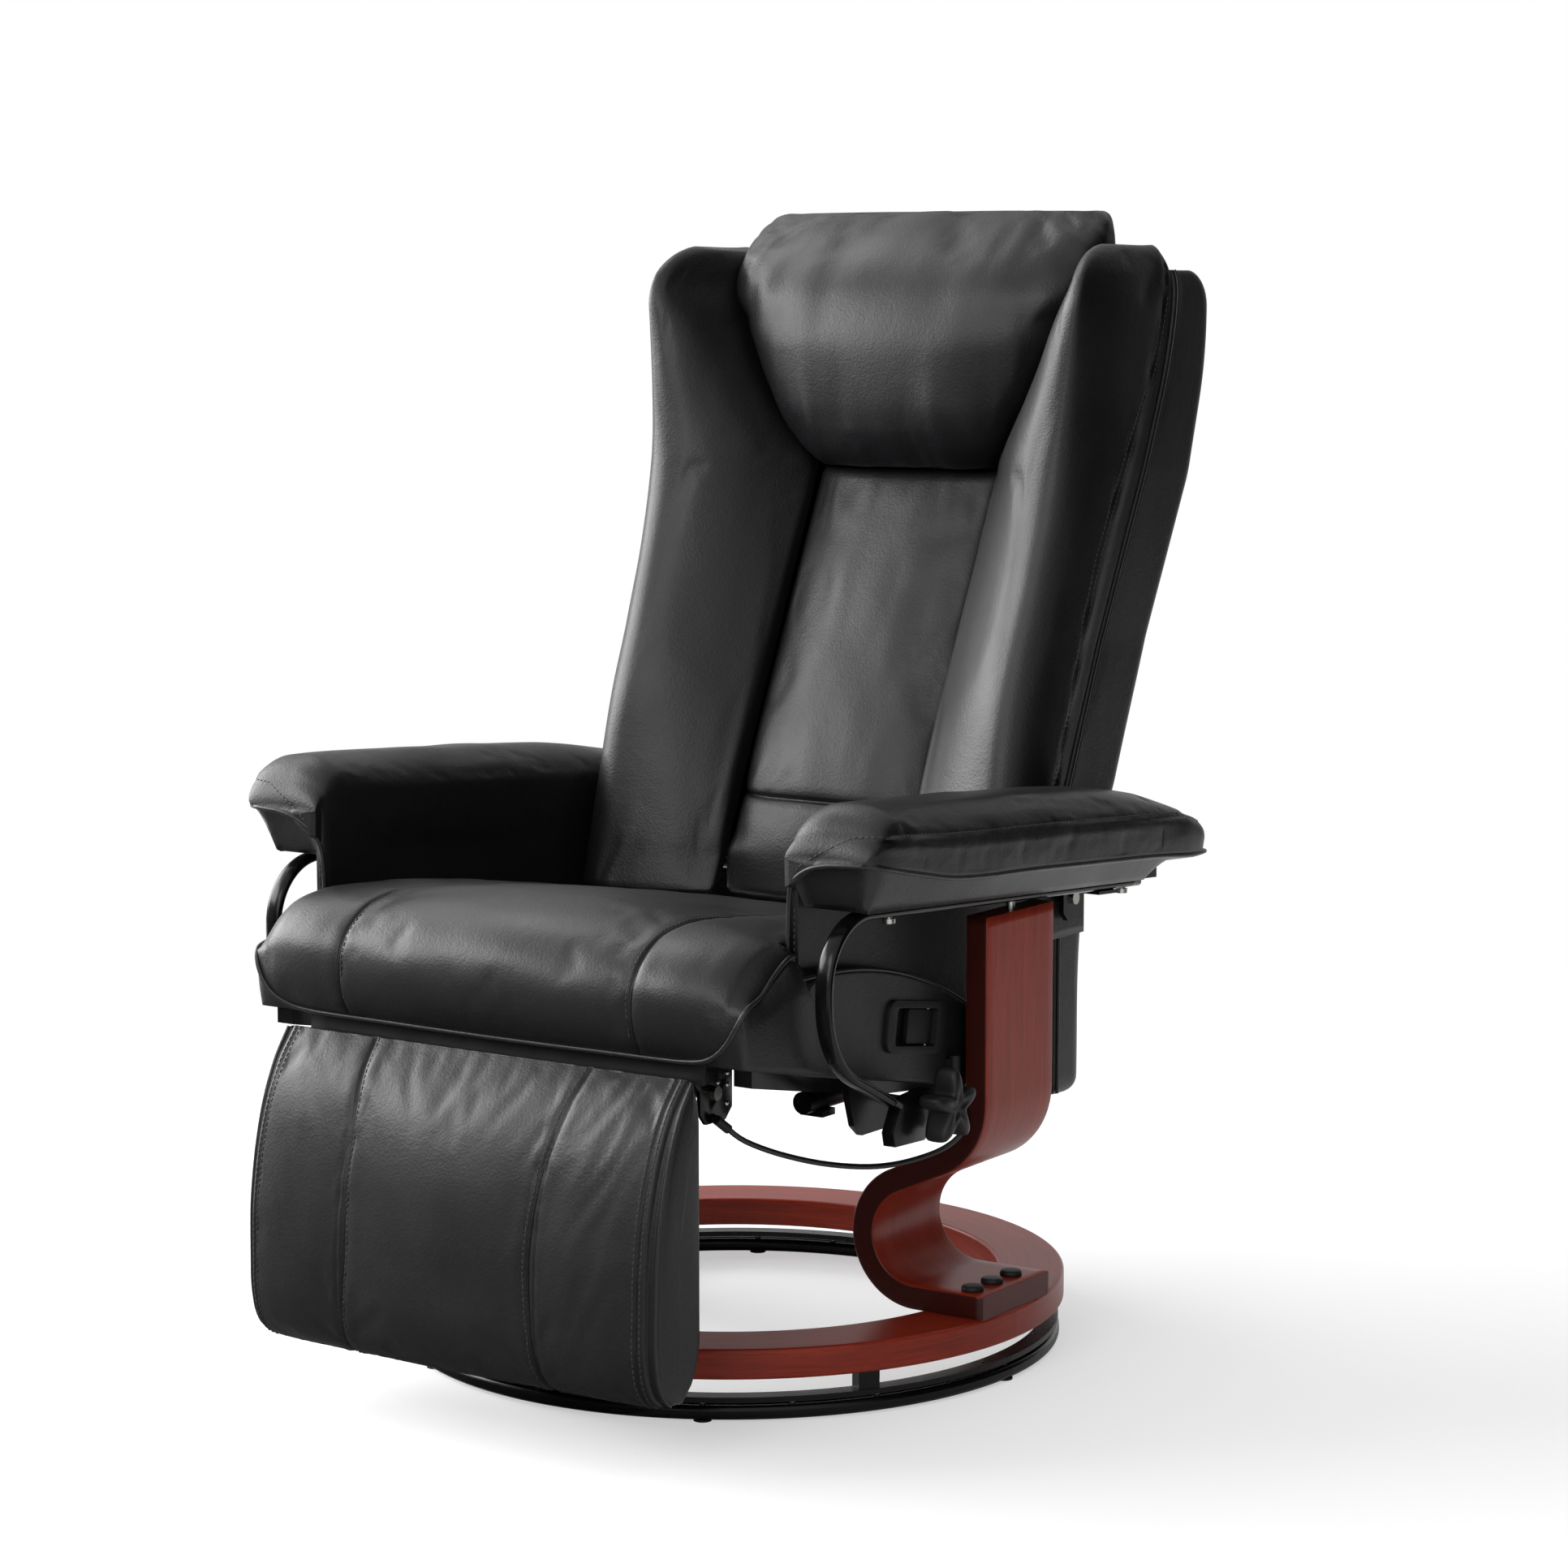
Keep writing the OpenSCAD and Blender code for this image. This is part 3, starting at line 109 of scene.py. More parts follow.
def new_tree(name):
    mat = bpy.data.materials.new(name)
    mat.use_nodes = True
    mat.node_tree.nodes.clear()
    return mat, mat.node_tree


# The backdrop is white to the lens and in reflections, and a weaker fill everywhere else
world = bpy.data.worlds.new("studio")
bpy.context.scene.world = world
world.use_nodes = True
tree = world.node_tree
tree.nodes.clear()
path = add(tree, "LightPath")
lens = add(tree, "Math", {0: path.outputs["Is Camera Ray"], 1: path.outputs["Is Transmission Ray"]},
           operation="MAXIMUM")
seen = add(tree, "Math", {0: lens.outputs[0], 1: path.outputs["Is Glossy Ray"]}, operation="MAXIMUM")
level = add(tree, "MapRange", {"Value": seen.outputs[0]}, To_Min=0.36, To_Max=1.0)
sky = add(tree, "Background", {"Strength": level.outputs[0]}, Color=(1, 1, 1, 1))
add(tree, "OutputWorld", {"Surface": sky.outputs[0]})

# White paper that takes the chair's shadow and burns out to plain white away from it
mat_floor, tree = new_tree("white_paper_floor")
path = add(tree, "LightPath")
spot = add(tree, "TexCoord")
away = add(tree, "VectorMath", {0: spot.outputs["Object"]}, operation="LENGTH")
share = add(tree, "MapRange", {"Value": away.outputs[1]}, interpolation_type="SMOOTHSTEP",
            From_Min=0.7, From_Max=2.6, To_Min=0.5, To_Max=1.0)
lift = add(tree, "Math", {0: path.outputs["Is Camera Ray"], 1: share.outputs[0]}, operation="MULTIPLY")
paper = add(tree, "BsdfDiffuse", Color=(0.95, 0.95, 0.95, 1))
glow = add(tree, "Emission", Color=(1, 1, 1, 1), Strength=1.0)
both = add(tree, "MixShader", {0: lift.outputs[0], 1: paper.outputs[0], 2: glow.outputs[0]})
add(tree, "OutputMaterial", {"Surface": both.outputs[0]})
bpy.ops.mesh.primitive_plane_add(size=60, location=(0, 0, 0))
floor = bpy.context.object
floor.name = "floor"
floor.data.materials.append(mat_floor)
floor.select_set(False)


def flag(name, place, turn, size, tone):
    """A felt card that shows only in reflections, as a photographer's flag darkens a flank"""
    mat, tree = new_tree(name)
    felt = add(tree, "BsdfDiffuse", Color=(tone, tone, tone, 1))
    add(tree, "OutputMaterial", {"Surface": felt.outputs[0]})
    bpy.ops.mesh.primitive_plane_add(size=1, location=place, rotation=turn)
    card = bpy.context.object
    card.scale = size
    card.name = name
    card.data.materials.append(mat)
    card.visible_camera = card.visible_diffuse = card.visible_shadow = card.visible_transmission = False
    card.select_set(False)
    return card


# Cards to the right, behind, low in front and on the floor before the footrest
upright = math.radians(90)
black_card = flag("black_card", (1.75, 3.9, 2.15), (0, upright, 0), (4.7, 8.6, 1), 0.004)
grey_card = flag("grey_card", (-1.2, 5.5, 2.5), (upright, 0, 0), (9, 2.1, 1), 0.52)
low_card = flag("low_card", (-0.69, -1.55, 0.45), (upright, 0, math.radians(-32)), (2.6, 1.0, 1), 0.05)
floor_card = flag("floor_card", (-0.28, -1.0, 0.004), (0, 0, math.radians(-32)), (3.0, 1.6, 1), 0.12)


# Materials

def blend(tree, share, *colours):
    """Mix of two colours, each a colour or a node's output"""
    node = add(tree, "Mix", {0: share}, data_type="RGBA")
    for socket, colour in zip((node.inputs[6], node.inputs[7]), colours):
        if isinstance(colour, tuple):
            socket.default_value = colour
        else:
            tree.links.new(colour, socket)
    return node.outputs[2]


def relief(tree, height, strength, distance, under=None):
    links = {"Height": height, "Normal": under} if under else {"Height": height}
    return add(tree, "Bump", links, Strength=strength, Distance=distance).outputs[0]


def gloss(tree, patches, low, high):
    """Roughness that wanders from low to high over the patches of a noise"""
    return add(tree, "MapRange", {"Value": patches}, From_Min=0.3, From_Max=0.7, To_Min=low,
               To_Max=high).outputs[0]


def coated(tree, colour, normal, links=(), **values):
    """The surface's shader and the material's output"""
    body = add(tree, "BsdfPrincipled", {"Base Color": colour, "Normal": normal, **dict(links)}, **values)
    add(tree, "OutputMaterial", {"Surface": body.outputs[0]})


def leather(name, dark, light, rough=0.42):
    """Corrected-grain cowhide, dyed black and finished with a satin lacquer: pebbled, with soft creases"""
    mat, tree = new_tree(name)
    at = add(tree, "TexCoord").outputs["Object"]
    seam = add(tree, "Attribute", attribute_name="seam")
    cloud = add(tree, "TexNoise", {"Vector": at}, Scale=9.0, Detail=4.0, Roughness=0.55)
    tone = blend(tree, cloud.outputs["Fac"], hex_rgb(dark), hex_rgb(light))
    # Painted shade: the leather darkens to near black along the marked seam grooves, where shade falls
    shade = blend(tree, seam.outputs["Fac"], tone, hex_rgb("#08080a"))
    # Pebble grain is about 1.2 mm across; it is drawn 2.2 mm wide so that it shows
    pebble = add(tree, "TexVoronoi", {"Vector": at}, feature="SMOOTH_F1", Scale=450.0, Smoothness=0.5)
    pore = add(tree, "TexNoise", {"Vector": at}, Scale=1300.0, Detail=2.0)
    crease = add(tree, "TexNoise", {"Vector": at}, Scale=55.0, Detail=5.0, Roughness=0.6, Distortion=0.6)
    fine = relief(tree, pebble.outputs["Distance"], 0.22, 0.0006)
    pores = relief(tree, pore.outputs["Fac"], 0.12, 0.0003, fine)
    soft = relief(tree, crease.outputs["Fac"], 0.16, 0.002, pores)
    satin = gloss(tree, cloud.outputs["Fac"], rough - 0.04, rough + 0.06)
    coated(tree, shade, soft, {"Roughness": satin}, IOR=1.38)
    return mat


RING_RADIUS = 0.275


def stained_wood(name, around=False):
    """Rotary-cut beech plies, stained mahogany red: fine long pores under a thin satin varnish"""
    mat, tree = new_tree(name)
    coords = add(tree, "TexCoord")
    at = coords.outputs["UV"]
    if around:
        xyz = add(tree, "SeparateXYZ", {0: coords.outputs["Object"]})
        turn = add(tree, "Math", {0: xyz.outputs[1], 1: xyz.outputs[0]}, operation="ARCTAN2")
        length = add(tree, "Math", {0: turn.outputs[0]}, operation="MULTIPLY")
        length.inputs[1].default_value = RING_RADIUS
        radius = add(tree, "VectorMath", {0: coords.outputs["Object"]}, operation="LENGTH")
        bent = add(tree, "CombineXYZ", {0: length.outputs[0], 1: radius.outputs[1], 2: xyz.outputs[2]})
        at = bent.outputs[0]
    long = add(tree, "Mapping", {"Vector": at}, Scale=(7, 160, 160))
    fine = add(tree, "Mapping", {"Vector": at}, Scale=(45, 1100, 1100))
    figure = add(tree, "TexNoise", {"Vector": long.outputs[0]}, Scale=1.0, Detail=6.0, Roughness=0.6,
                 Distortion=0.8)
    pores = add(tree, "TexNoise", {"Vector": fine.outputs[0]}, Scale=1.0, Detail=2.0)
    ramp = add(tree, "ValToRGB", {"Fac": figure.outputs["Fac"]})
    for stop, share, colour in zip(ramp.color_ramp.elements, (0.3, 0.72), ("#6c1f11", "#872b18")):
        stop.position = share
        stop.color = hex_rgb(colour)
    dark = add(tree, "MapRange", {"Value": pores.outputs["Fac"]}, From_Min=0.52, From_Max=0.7, To_Min=0.0,
               To_Max=0.35)
    pored = blend(tree, dark.outputs[0], ramp.outputs[0], hex_rgb("#3a0f08"))
    edge = add(tree, "Attribute", attribute_name="edge")
    ply = blend(tree, edge.outputs["Fac"], pored, hex_rgb("#2f0d09"))
    coated(tree, ply, relief(tree, pores.outputs["Fac"], 0.12, 0.0003), Roughness=0.33, IOR=1.3)
    return mat


def plain(name, colour, rough, metallic=0.0, scale=300.0, bump=0.08, ior=1.5):
    """Painted, moulded or plated surface with a fine texture and slight change of gloss"""
    mat, tree = new_tree(name)
    at = add(tree, "TexCoord").outputs["Object"]
    speck = add(tree, "TexNoise", {"Vector": at}, Scale=scale, Detail=3.0, Roughness=0.6)
    patch = add(tree, "TexNoise", {"Vector": at}, Scale=22.0, Detail=3.0)
    base = hex_rgb(colour)
    shades = [tuple(min(1, c * k) for c in base[:3]) + (1,) for k in (0.82, 1.2)]
    tone = blend(tree, patch.outputs["Fac"], *shades)
    worn = gloss(tree, patch.outputs["Fac"], max(0.03, rough - 0.06), rough + 0.06)
    coated(tree, tone, relief(tree, speck.outputs["Fac"], bump, 0.0004), {"Roughness": worn},
           Metallic=metallic, IOR=ior)
    return mat


mat_leather = leather("black_cowhide", "#0d0d0f", "#141416")
mat_piping = leather("black_cowhide_piping", "#141416", "#1e1e20", rough=0.34)
mat_thread = plain("bonded_nylon_thread", "#242427", 0.5, scale=2500, bump=0.3)
mat_leg = stained_wood("mahogany_stained_plywood")
mat_ring = stained_wood("mahogany_stained_ring", around=True)
mat_steel = plain("black_powder_coated_steel", "#080808", 0.24, scale=900, bump=0.05, ior=1.3)
mat_plastic = plain("black_moulded_nylon", "#141313", 0.5, scale=700, bump=0.12, ior=1.33)
mat_zinc = plain("zinc_plated_steel", "#b9b9b4", 0.3, metallic=1.0, scale=1200, bump=0.05)
mat_ply = plain("raw_beech_plywood", "#8a6a48", 0.6, scale=120, bump=0.15)
mat_board = plain("black_stained_plywood", "#0d0c0b", 0.55, scale=160, bump=0.15)
mat_cambric = plain("black_cambric", "#0c0c0c", 0.9, scale=900, bump=0.4)
mat_web = plain("woven_elastic_webbing", "#3c3c39", 0.85, scale=800, bump=0.5)
mat_slide = plain("acetal_slide", "#d8d8d0", 0.4, scale=500)
mat_rubber = plain("pvc_cable_jacket", "#101011", 0.38, scale=900, bump=0.05)

SLOT_MATERIALS = {
    "black_leather": mat_leather, "mahogany_wood": mat_ring, "black_steel": mat_steel,
    "black_plastic": mat_plastic, "zinc_steel": mat_zinc, "plywood": mat_ply, "webbing": mat_web,
    "slide_plastic": mat_slide, "cable_rubber": mat_rubber}
for row in frame["record"]["subparts"]:
    mesh = frame["nodes"][row["node"]].data
    mesh.materials.clear()
    mesh.materials.append(mat_board if "_board" in row["node"] else SLOT_MATERIALS[row["material_slot"]])


# Curves and noise

def flow(t, table):
    """Smooth line through (place, value) pairs that doesn't overshoot them"""
    xs, ys = np.array(table, float).T
    t = np.asarray(t, float)
    h = np.diff(xs)
    d = np.diff(ys) / h
    m = np.concatenate([[d[0]], np.zeros(len(d) - 1), [d[-1]]])
    for k in range(1, len(d)):
        if d[k - 1] * d[k] > 0:
            w1, w2 = 2 * h[k] + h[k - 1], h[k] + 2 * h[k - 1]
            m[k] = (w1 + w2) / (w1 / d[k - 1] + w2 / d[k])
    i = np.clip(np.searchsorted(xs, t, side="right") - 1, 0, len(d) - 1)
    s = np.clip((t - xs[i]) / h[i], 0, 1)
    return ((2 * s**3 - 3 * s**2 + 1) * ys[i] + (s**3 - 2 * s**2 + s) * h[i] * m[i]
            + (3 * s**2 - 2 * s**3) * ys[i + 1] + (s**3 - s**2) * h[i] * m[i + 1])


def tan(deg):
    return math.tan(math.radians(deg))


def ramp(v, zero, one):
    """0 at one place and 1 at the other, straight between them and level beyond"""
    return np.clip((v - zero) / (one - zero), 0, 1)


def ease(t):
    return t * t * (3 - 2 * t)


def curved(t, share=1.0):
    """Fall of a quarter circle: 0 at t = 0, 1 at t = 1"""
    return 1 - math.sqrt(max(0, 1 - t * t * share))


def hill(v, middle, width):
    """Bell curve with its top, 1, at the middle"""
    return np.exp(-((v - middle) / width) ** 2)


def arc(cx, cz, r, a0, a1, n):
    a = np.radians(np.linspace(a0, a1, n))
    return points(cx + r * np.cos(a), cz + r * np.sin(a))


def power_arc(a, p):
    """Unit superellipse at angle a in degrees"""
    c, s = np.cos(np.radians(a)), np.sin(np.radians(a))
    return np.sign(c) * np.abs(c) ** (2 / p), np.sign(s) * np.abs(s) ** (2 / p)


def points(*columns):
    """Coordinates side by side; a single number fills its column"""
    return np.stack(np.broadcast_arrays(*columns), -1)


def noise_at(q):
    """Gradient noise at an array of points"""
    return np.array([noise.noise(Vector(p)) for p in q.reshape(-1, 3)]).reshape(q.shape[:-1])


def smooth_noise(pts, scale, seed):
    """Noise at points in millimetres, its scale in millimetres along x, y and z"""
    return noise_at(pts / np.array(scale, float) + seed)


def distances(pts):
    """Distance of each point from the first, along the line through them"""
    return np.concatenate([[0], np.cumsum(np.linalg.norm(np.diff(pts, axis=0), axis=1))])


def at_distances(pts, u):
    s = distances(pts)
    return points(*(np.interp(u, s, column) for column in pts.T))


def curve_through(pts, steps):
    """Smooth curve through a line's points, with the same number of steps from each to the next"""
    pts = np.asarray(pts, float)
    n = len(pts) - 1
    out = []
    for i in range(n):
        a, b, c, d = pts[max(i - 1, 0)], pts[i], pts[i + 1], pts[min(i + 2, n)]
        for t in np.linspace(0, 1, steps, endpoint=False):
            out.append(0.5 * (2 * b + (c - a) * t + (2 * a - 5 * b + 4 * c - d) * t * t
                              + (3 * b - a - 3 * c + d) * t**3))
    return np.array(out + [pts[-1]])


def resample(pts, step):
    """Even, smoothed points along a line"""
    fine = curve_through(pts, 12)
    length = distances(fine)[-1]
    return at_distances(fine, np.linspace(0, length, max(3, int(round(length / step)) + 1)))


def tangents(line):
    d = np.gradient(line, axis=0)
    return d / np.linalg.norm(d, axis=1, keepdims=True)


def blurred(loop, times):
    """A closed line with its corners softened"""
    for _ in range(times):
        loop = (np.roll(loop, 1, 0) + 2 * loop + np.roll(loop, -1, 0)) / 4
    return loop


def mirrored(pts):
    return np.asarray(pts) * (-1, 1, 1)


def spread(knots, step, fine=(), width=6, fine_step=1.2):
    """Stations from the first knot to the last, closer together near the fine places"""
    lo, hi = knots
    pts = list(np.arange(lo, hi, step)) + [hi]
    for f in fine:
        a, b = max(lo, f - width), min(hi, f + width)
        pts = [p for p in pts if p < a or p > b] + list(np.arange(a, b + 0.01, fine_step))
    pts = sorted(set(np.round(pts, 3)))
    keep = [pts[0]]
    for p in pts[1:]:
        if p - keep[-1] > 0.35:
            keep.append(p)
    return np.array(keep)


# Lines of the chair, in millimetres

ARM_SLOPE, TUBE_HALF_HIGH, BOARD_THICK = 3.7, 4.5, 14


def tube_mid(y):
    return 438 - tan(ARM_SLOPE) * y


def arm_floor(y):
    """Top of the board that carries an arm's pad"""
    return tube_mid(y) + TUBE_HALF_HIGH / math.cos(math.radians(ARM_SLOPE)) + BOARD_THICK


def pad_low(y):
    d = y + 288
    return arm_floor(y) + (22 * ((130 - d) / 130) ** 2 if d < 130 else 0)


def seat_deck(y):
    return 372.5 - tan(6) * (y + 380)


def side_low(y):
    return 342 - tan(11.5) * (y + 385)


def back_line(z):
    z = np.asarray(z, float)
    return 189 + tan(23.75) * (z - 515) - np.where(z > 865, (z - 865) ** 2 / 640, 0)


def half_back(z):
    return flow(z, [(640, 249), (800, 256)])


def pillow_half(z):
    return flow(z, [(795, 97.5), (821, 119), (896, 166), (985, 204), (1043, 196)])


def middle_front(z):
    return flow(z, [(380, 126), (430, 130), (484, 146), (640, 216), (800, 292)])


def bolster_front(z):
    return flow(z, [(388, 78), (518, 104), (581, 120), (645, 143), (708, 166), (772, 184), (853, 197),
                    (973, 206)])


def pillow_front(z):
    return flow(z, [(797, 268), (825, 250), (860, 240), (910, 238), (960, 250), (1000, 276), (1030, 312),
                    (1043, 336)])


# Meshes

def sections(ring, stations, axis):
    """Rings of points from the section at each station along an axis: 0, 1 or 2 for x, y or z"""
    return np.array([np.insert(ring(s), axis, s, axis=1) for s in stations])


def skin(rings, caps=((0.9, 0.0), (0.66, 0.0), (0.33, 0.0))):
    """Points and faces of a closed skin over rings of equal length, with rows that fill both ends"""
    m, n, _ = rings.shape
    first, last = rings[0], rings[-1]
    a_mid, b_mid = first.mean(0), last.mean(0)
    axis = (b_mid - a_mid) / np.linalg.norm(b_mid - a_mid)
    start = [a_mid + (first - a_mid) * f - axis * h for f, h in caps]
    end = [b_mid + (last - b_mid) * f + axis * h for f, h in caps]
    tip = caps[-1][1] if caps else 0
    pts = np.concatenate([rings.reshape(-1, 3)] + start + end + [[a_mid - axis * tip], [b_mid + axis * tip]])
    k = len(caps)
    chain = [*range(m + k - 1, m - 1, -1), *range(m), *range(m + k, m + 2 * k)]
    j = np.arange(n)
    faces = []
    for a, b in zip(chain[:-1], chain[1:]):
        ia, ib = a * n + j, b * n + j
        faces += points(ia, np.roll(ia, -1), np.roll(ib, -1), ib).tolist()
    c0, c1 = len(pts) - 2, len(pts) - 1
    ia, ib = chain[0] * n + j, chain[-1] * n + j
    faces += [[c0, int(q), int(p)] for p, q in zip(ia, np.roll(ia, -1))]
    faces += [[c1, int(p), int(q)] for p, q in zip(ib, np.roll(ib, -1))]
    return pts, faces


def volume(pts, faces):
    total = 0.0
    for f in faces:
        a = pts[f[0]]
        for i in range(1, len(f) - 1):
            total += np.dot(a, np.cross(pts[f[i]], pts[f[i + 1]]))
    return total


def build(name, pts, faces, mat):
    """A smooth mesh object from points in millimetres"""
    mesh = bpy.data.meshes.new(name)
    mesh.from_pydata((np.asarray(pts) * MM).tolist(), [], faces)
    mesh.update()
    mesh.polygons.foreach_set("use_smooth", [True] * len(mesh.polygons))
    mesh.materials.append(mat)
    return put(name, mesh)


def make(name, pts, faces, mat, uv=None, **marks):
    """A mesh object from one skin, with marks from 0 to 1 at its points for the materials"""
    if volume(pts, faces[::7]) < 0:
        faces = [f[::-1] for f in faces]
    obj = build(name, pts, faces, mat)
    mesh = obj.data
    for key, vals in marks.items():
        full = np.zeros(len(mesh.vertices), np.float32)
        full[:vals.size] = vals.ravel()
        mesh.attributes.new(key, "FLOAT", "POINT").data.foreach_set("value", full)
    if uv is not None:
        loops = np.empty(len(mesh.loops), np.int32)
        mesh.loops.foreach_get("vertex_index", loops)
        mesh.uv_layers.new(name="UVMap").data.foreach_set("uv", uv[loops].astype(np.float32).ravel())
    return obj


def join_pieces(name, parts, mat):
    """One object from several sets of points and faces"""
    pts, faces, base = [], [], 0
    for p, f in parts:
        if volume(p, f) < 0:
            f = [q[::-1] for q in f]
        pts.append(p)
        faces += [[int(i) + base for i in q] for q in f]
        base += len(p)
    return build(name, np.concatenate(pts), faces, mat)


def place(obj, body, slot, *nodes):
    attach(obj, body)
    if nodes:
        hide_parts(*nodes)
    return obj


def pair(name, skinned, mat, body, slot, nodes, fill=None, **layers):
    """A left piece and its mirror image; braces in the body's name stand for the side"""
    pts, faces = skinned
    made = []
    for side, q in (("left", pts), ("right", mirrored(pts))):
        obj = make(f"{name}_{side}", q, faces, mat, **layers)
        place(obj, body.format(side), slot, *(f"{node}_{side}" for node in nodes))
        made.append(obj)
    return made[0]


def grid_normals(rings):
    """Outward normals of a skin's rings"""
    du = np.gradient(rings, axis=0)
    dv = np.roll(rings, -1, 1) - np.roll(rings, 1, 1)
    nrm = np.cross(dv, du)
    nrm = nrm / np.maximum(np.linalg.norm(nrm, axis=2, keepdims=True), 1e-9)
    outward = ((rings - rings.mean(1, keepdims=True)) * nrm).sum()
    return nrm if outward >= 0 else -nrm


SIM_FRAMES = 16


def settle(name, rings, held, pressure, swell, cap):
    """Movement, up to the cap, of a leather cover blown up over its filling by a short cloth simulation"""
    pts, faces = skin(rings)
    obj = make(name + "_try", pts, faces, mat_leather)
    m, n, _ = rings.shape
    group = obj.vertex_groups.new(name="held")
    weights = np.concatenate([held.ravel(), np.ones(len(pts) - m * n)])
    for w in (0.75, 1.0):
        at = np.nonzero(weights == w)[0].tolist()
        if at:
            group.add(at, w, "REPLACE")
    mod = obj.modifiers.new("cloth", "CLOTH")
    cloth = mod.settings
    cloth.quality = 6
    cloth.mass = 0.4
    cloth.tension_stiffness = cloth.compression_stiffness = 12
    cloth.shear_stiffness = 6
    cloth.bending_stiffness = 0.6
    cloth.use_pressure = True
    cloth.uniform_pressure_force = pressure
    cloth.shrink_min = -swell
    cloth.effector_weights.gravity = 0
    cloth.vertex_group_mass = "held"
    mod.collision_settings.use_collision = False
    mod.point_cache.frame_start, mod.point_cache.frame_end = 1, SIM_FRAMES
    scene = bpy.context.scene
    for f in range(1, SIM_FRAMES + 1):
        scene.frame_set(f)
    got = obj.evaluated_get(bpy.context.evaluated_depsgraph_get()).data
    out = np.empty(len(got.vertices) * 3, np.float32)
    got.vertices.foreach_get("co", out)
    move = out.reshape(-1, 3) / MM - pts
    bpy.data.objects.remove(obj)
    scene.frame_set(1)
    move *= np.minimum(1, cap / np.maximum(np.linalg.norm(move, axis=1, keepdims=True), 1e-9))
    return move[:m * n].reshape(m, n, 3)


def between(coarse_u, move, fine_u):
    """A movement known at some stations, spread over closer ones"""
    i = np.clip(np.searchsorted(coarse_u, fine_u) - 1, 0, len(coarse_u) - 2)
    t = ease(((fine_u - coarse_u[i]) / (coarse_u[i + 1] - coarse_u[i])).clip(0, 1))[:, None, None]
    return move[i] * (1 - t) + move[i + 1] * t


def hoop(centre, u, v, r, sides):
    """Circle round a centre, in the plane of two directions"""
    a = np.linspace(0, 2 * np.pi, sides, endpoint=False)[:, None]
    return centre + r * (np.cos(a) * np.asarray(u) + np.sin(a) * np.asarray(v))


def sweep(pts, r):
    """Points and faces of a round tube along a line in millimetres"""
    t = tangents(pts)
    u = np.cross(t[0], (0.31, 0.52, 0.79))
    u /= np.linalg.norm(u)
    rings = []
    for p, d in zip(pts, t):
        u = u - d * np.dot(u, d)
        u /= np.linalg.norm(u)
        rings.append(hoop(p, u, np.cross(d, u), r, 10))
    return skin(np.array(rings), caps=((0.7, 0.5 * r),))


def lay_on(obj, pts, lift):
    """Points moved onto the nearest place of a piece, lifted off it along its normal"""
    out = []
    for p in np.asarray(pts, float) * MM:
        _, at, nrm, _ = obj.closest_point_on_mesh(Vector(p))
        out.append(np.array(at) / MM + np.array(nrm) * lift)
    return np.array(out)


def piping(name, lines, body, r=2.2):
    obj = join_pieces(name, [sweep(resample(line, 4.0), r) for line in lines], mat_piping)
    place(obj, body, "black_leather")


STITCH_PITCH, STITCH_LENGTH, THREAD_RADIUS = 5.4, 3.9, 0.5


def stitches(name, lines, body):
    """A row of single stitches along each line"""
    parts = []
    for line in lines:
        pts = resample(line, STITCH_PITCH)
        for p, t in zip(pts, tangents(pts)):
            u = np.cross(t, (0.3, 0.5, 0.8))
            u /= np.linalg.norm(u)
            rings = [hoop(p + t * s * STITCH_LENGTH, u, np.cross(t, u), k * THREAD_RADIUS, 6)
                     for s, k in ((-0.5, 0.35), (-0.32, 1), (0.32, 1), (0.5, 0.35))]
            parts.append(skin(np.array(rings), caps=()))
    place(join_pieces(name, parts, mat_thread), body, "black_leather")


def pucker(dist, along, depth, width, swell, wave, seed):
    """Height of leather beside a seam: a groove, a rise on both sides and small gathers across it"""
    d = np.abs(dist)
    across = along / wave + seed
    gathers = noise_at(points(across, np.full_like(across, seed), np.zeros_like(across)))
    return -depth * hill(d, 0, width) + swell * hill(d, 9, 6) + 0.5 * gathers * hill(d, 7, 6)


def near_line(rings, line):
    """Distance of each point from a line, both in millimetres"""
    marks = resample(line, 1.2)
    out = np.full(rings.shape[:2], 1e9)
    for mark in marks:
        out = np.minimum(out, np.linalg.norm(rings - mark, axis=2))
    return out


def pick(obj):
    """Makes an object the only one selected, for the operators"""
    bpy.ops.object.select_all(action="DESELECT")
    bpy.context.view_layer.objects.active = obj
    obj.select_set(True)


def bevel(obj, width, segments, angle):
    """Rounds the edges of the picked object by a width in millimetres"""
    mod = obj.modifiers.new("round", "BEVEL")
    mod.width = width * MM
    mod.segments = segments
    mod.limit_method = "ANGLE"
    mod.angle_limit = math.radians(angle)
    bpy.ops.object.modifier_apply(modifier="round")
    bpy.ops.object.shade_smooth_by_angle(angle=math.radians(40))
    obj.select_set(False)


# Release cable, from the handle under the left side to the latch

CABLE = np.array([
    [283.5, -64, 284], [284.5, -64, 272], [290, -62, 260], [293, -61, 248], [291, -66, 235],
    [284, -80, 225], [274, -101, 219], [261, -130, 216], [247, -160, 218], [229, -197, 226],
    [211, -234, 239], [197, -262, 253], [192.2, -280, 266]])
route = curve_through(CABLE, 4)
curve = bpy.data.curves.new("release_cable_line", "CURVE")
curve.dimensions = "3D"
spline = curve.splines.new("POLY")
spline.points.add(len(route) - 1)
spline.points.foreach_set("co", np.c_[route * MM, np.ones(len(route))].ravel())
curve.bevel_depth = 2.5 * MM
curve.bevel_resolution = 4
curve.use_fill_caps = True
curve.materials.append(mat_rubber)
spline.use_smooth = True
cable = put("release_cable_line", curve)
place(cable, "seat", "cable_rubber", "release_cable")


# Seat cushion

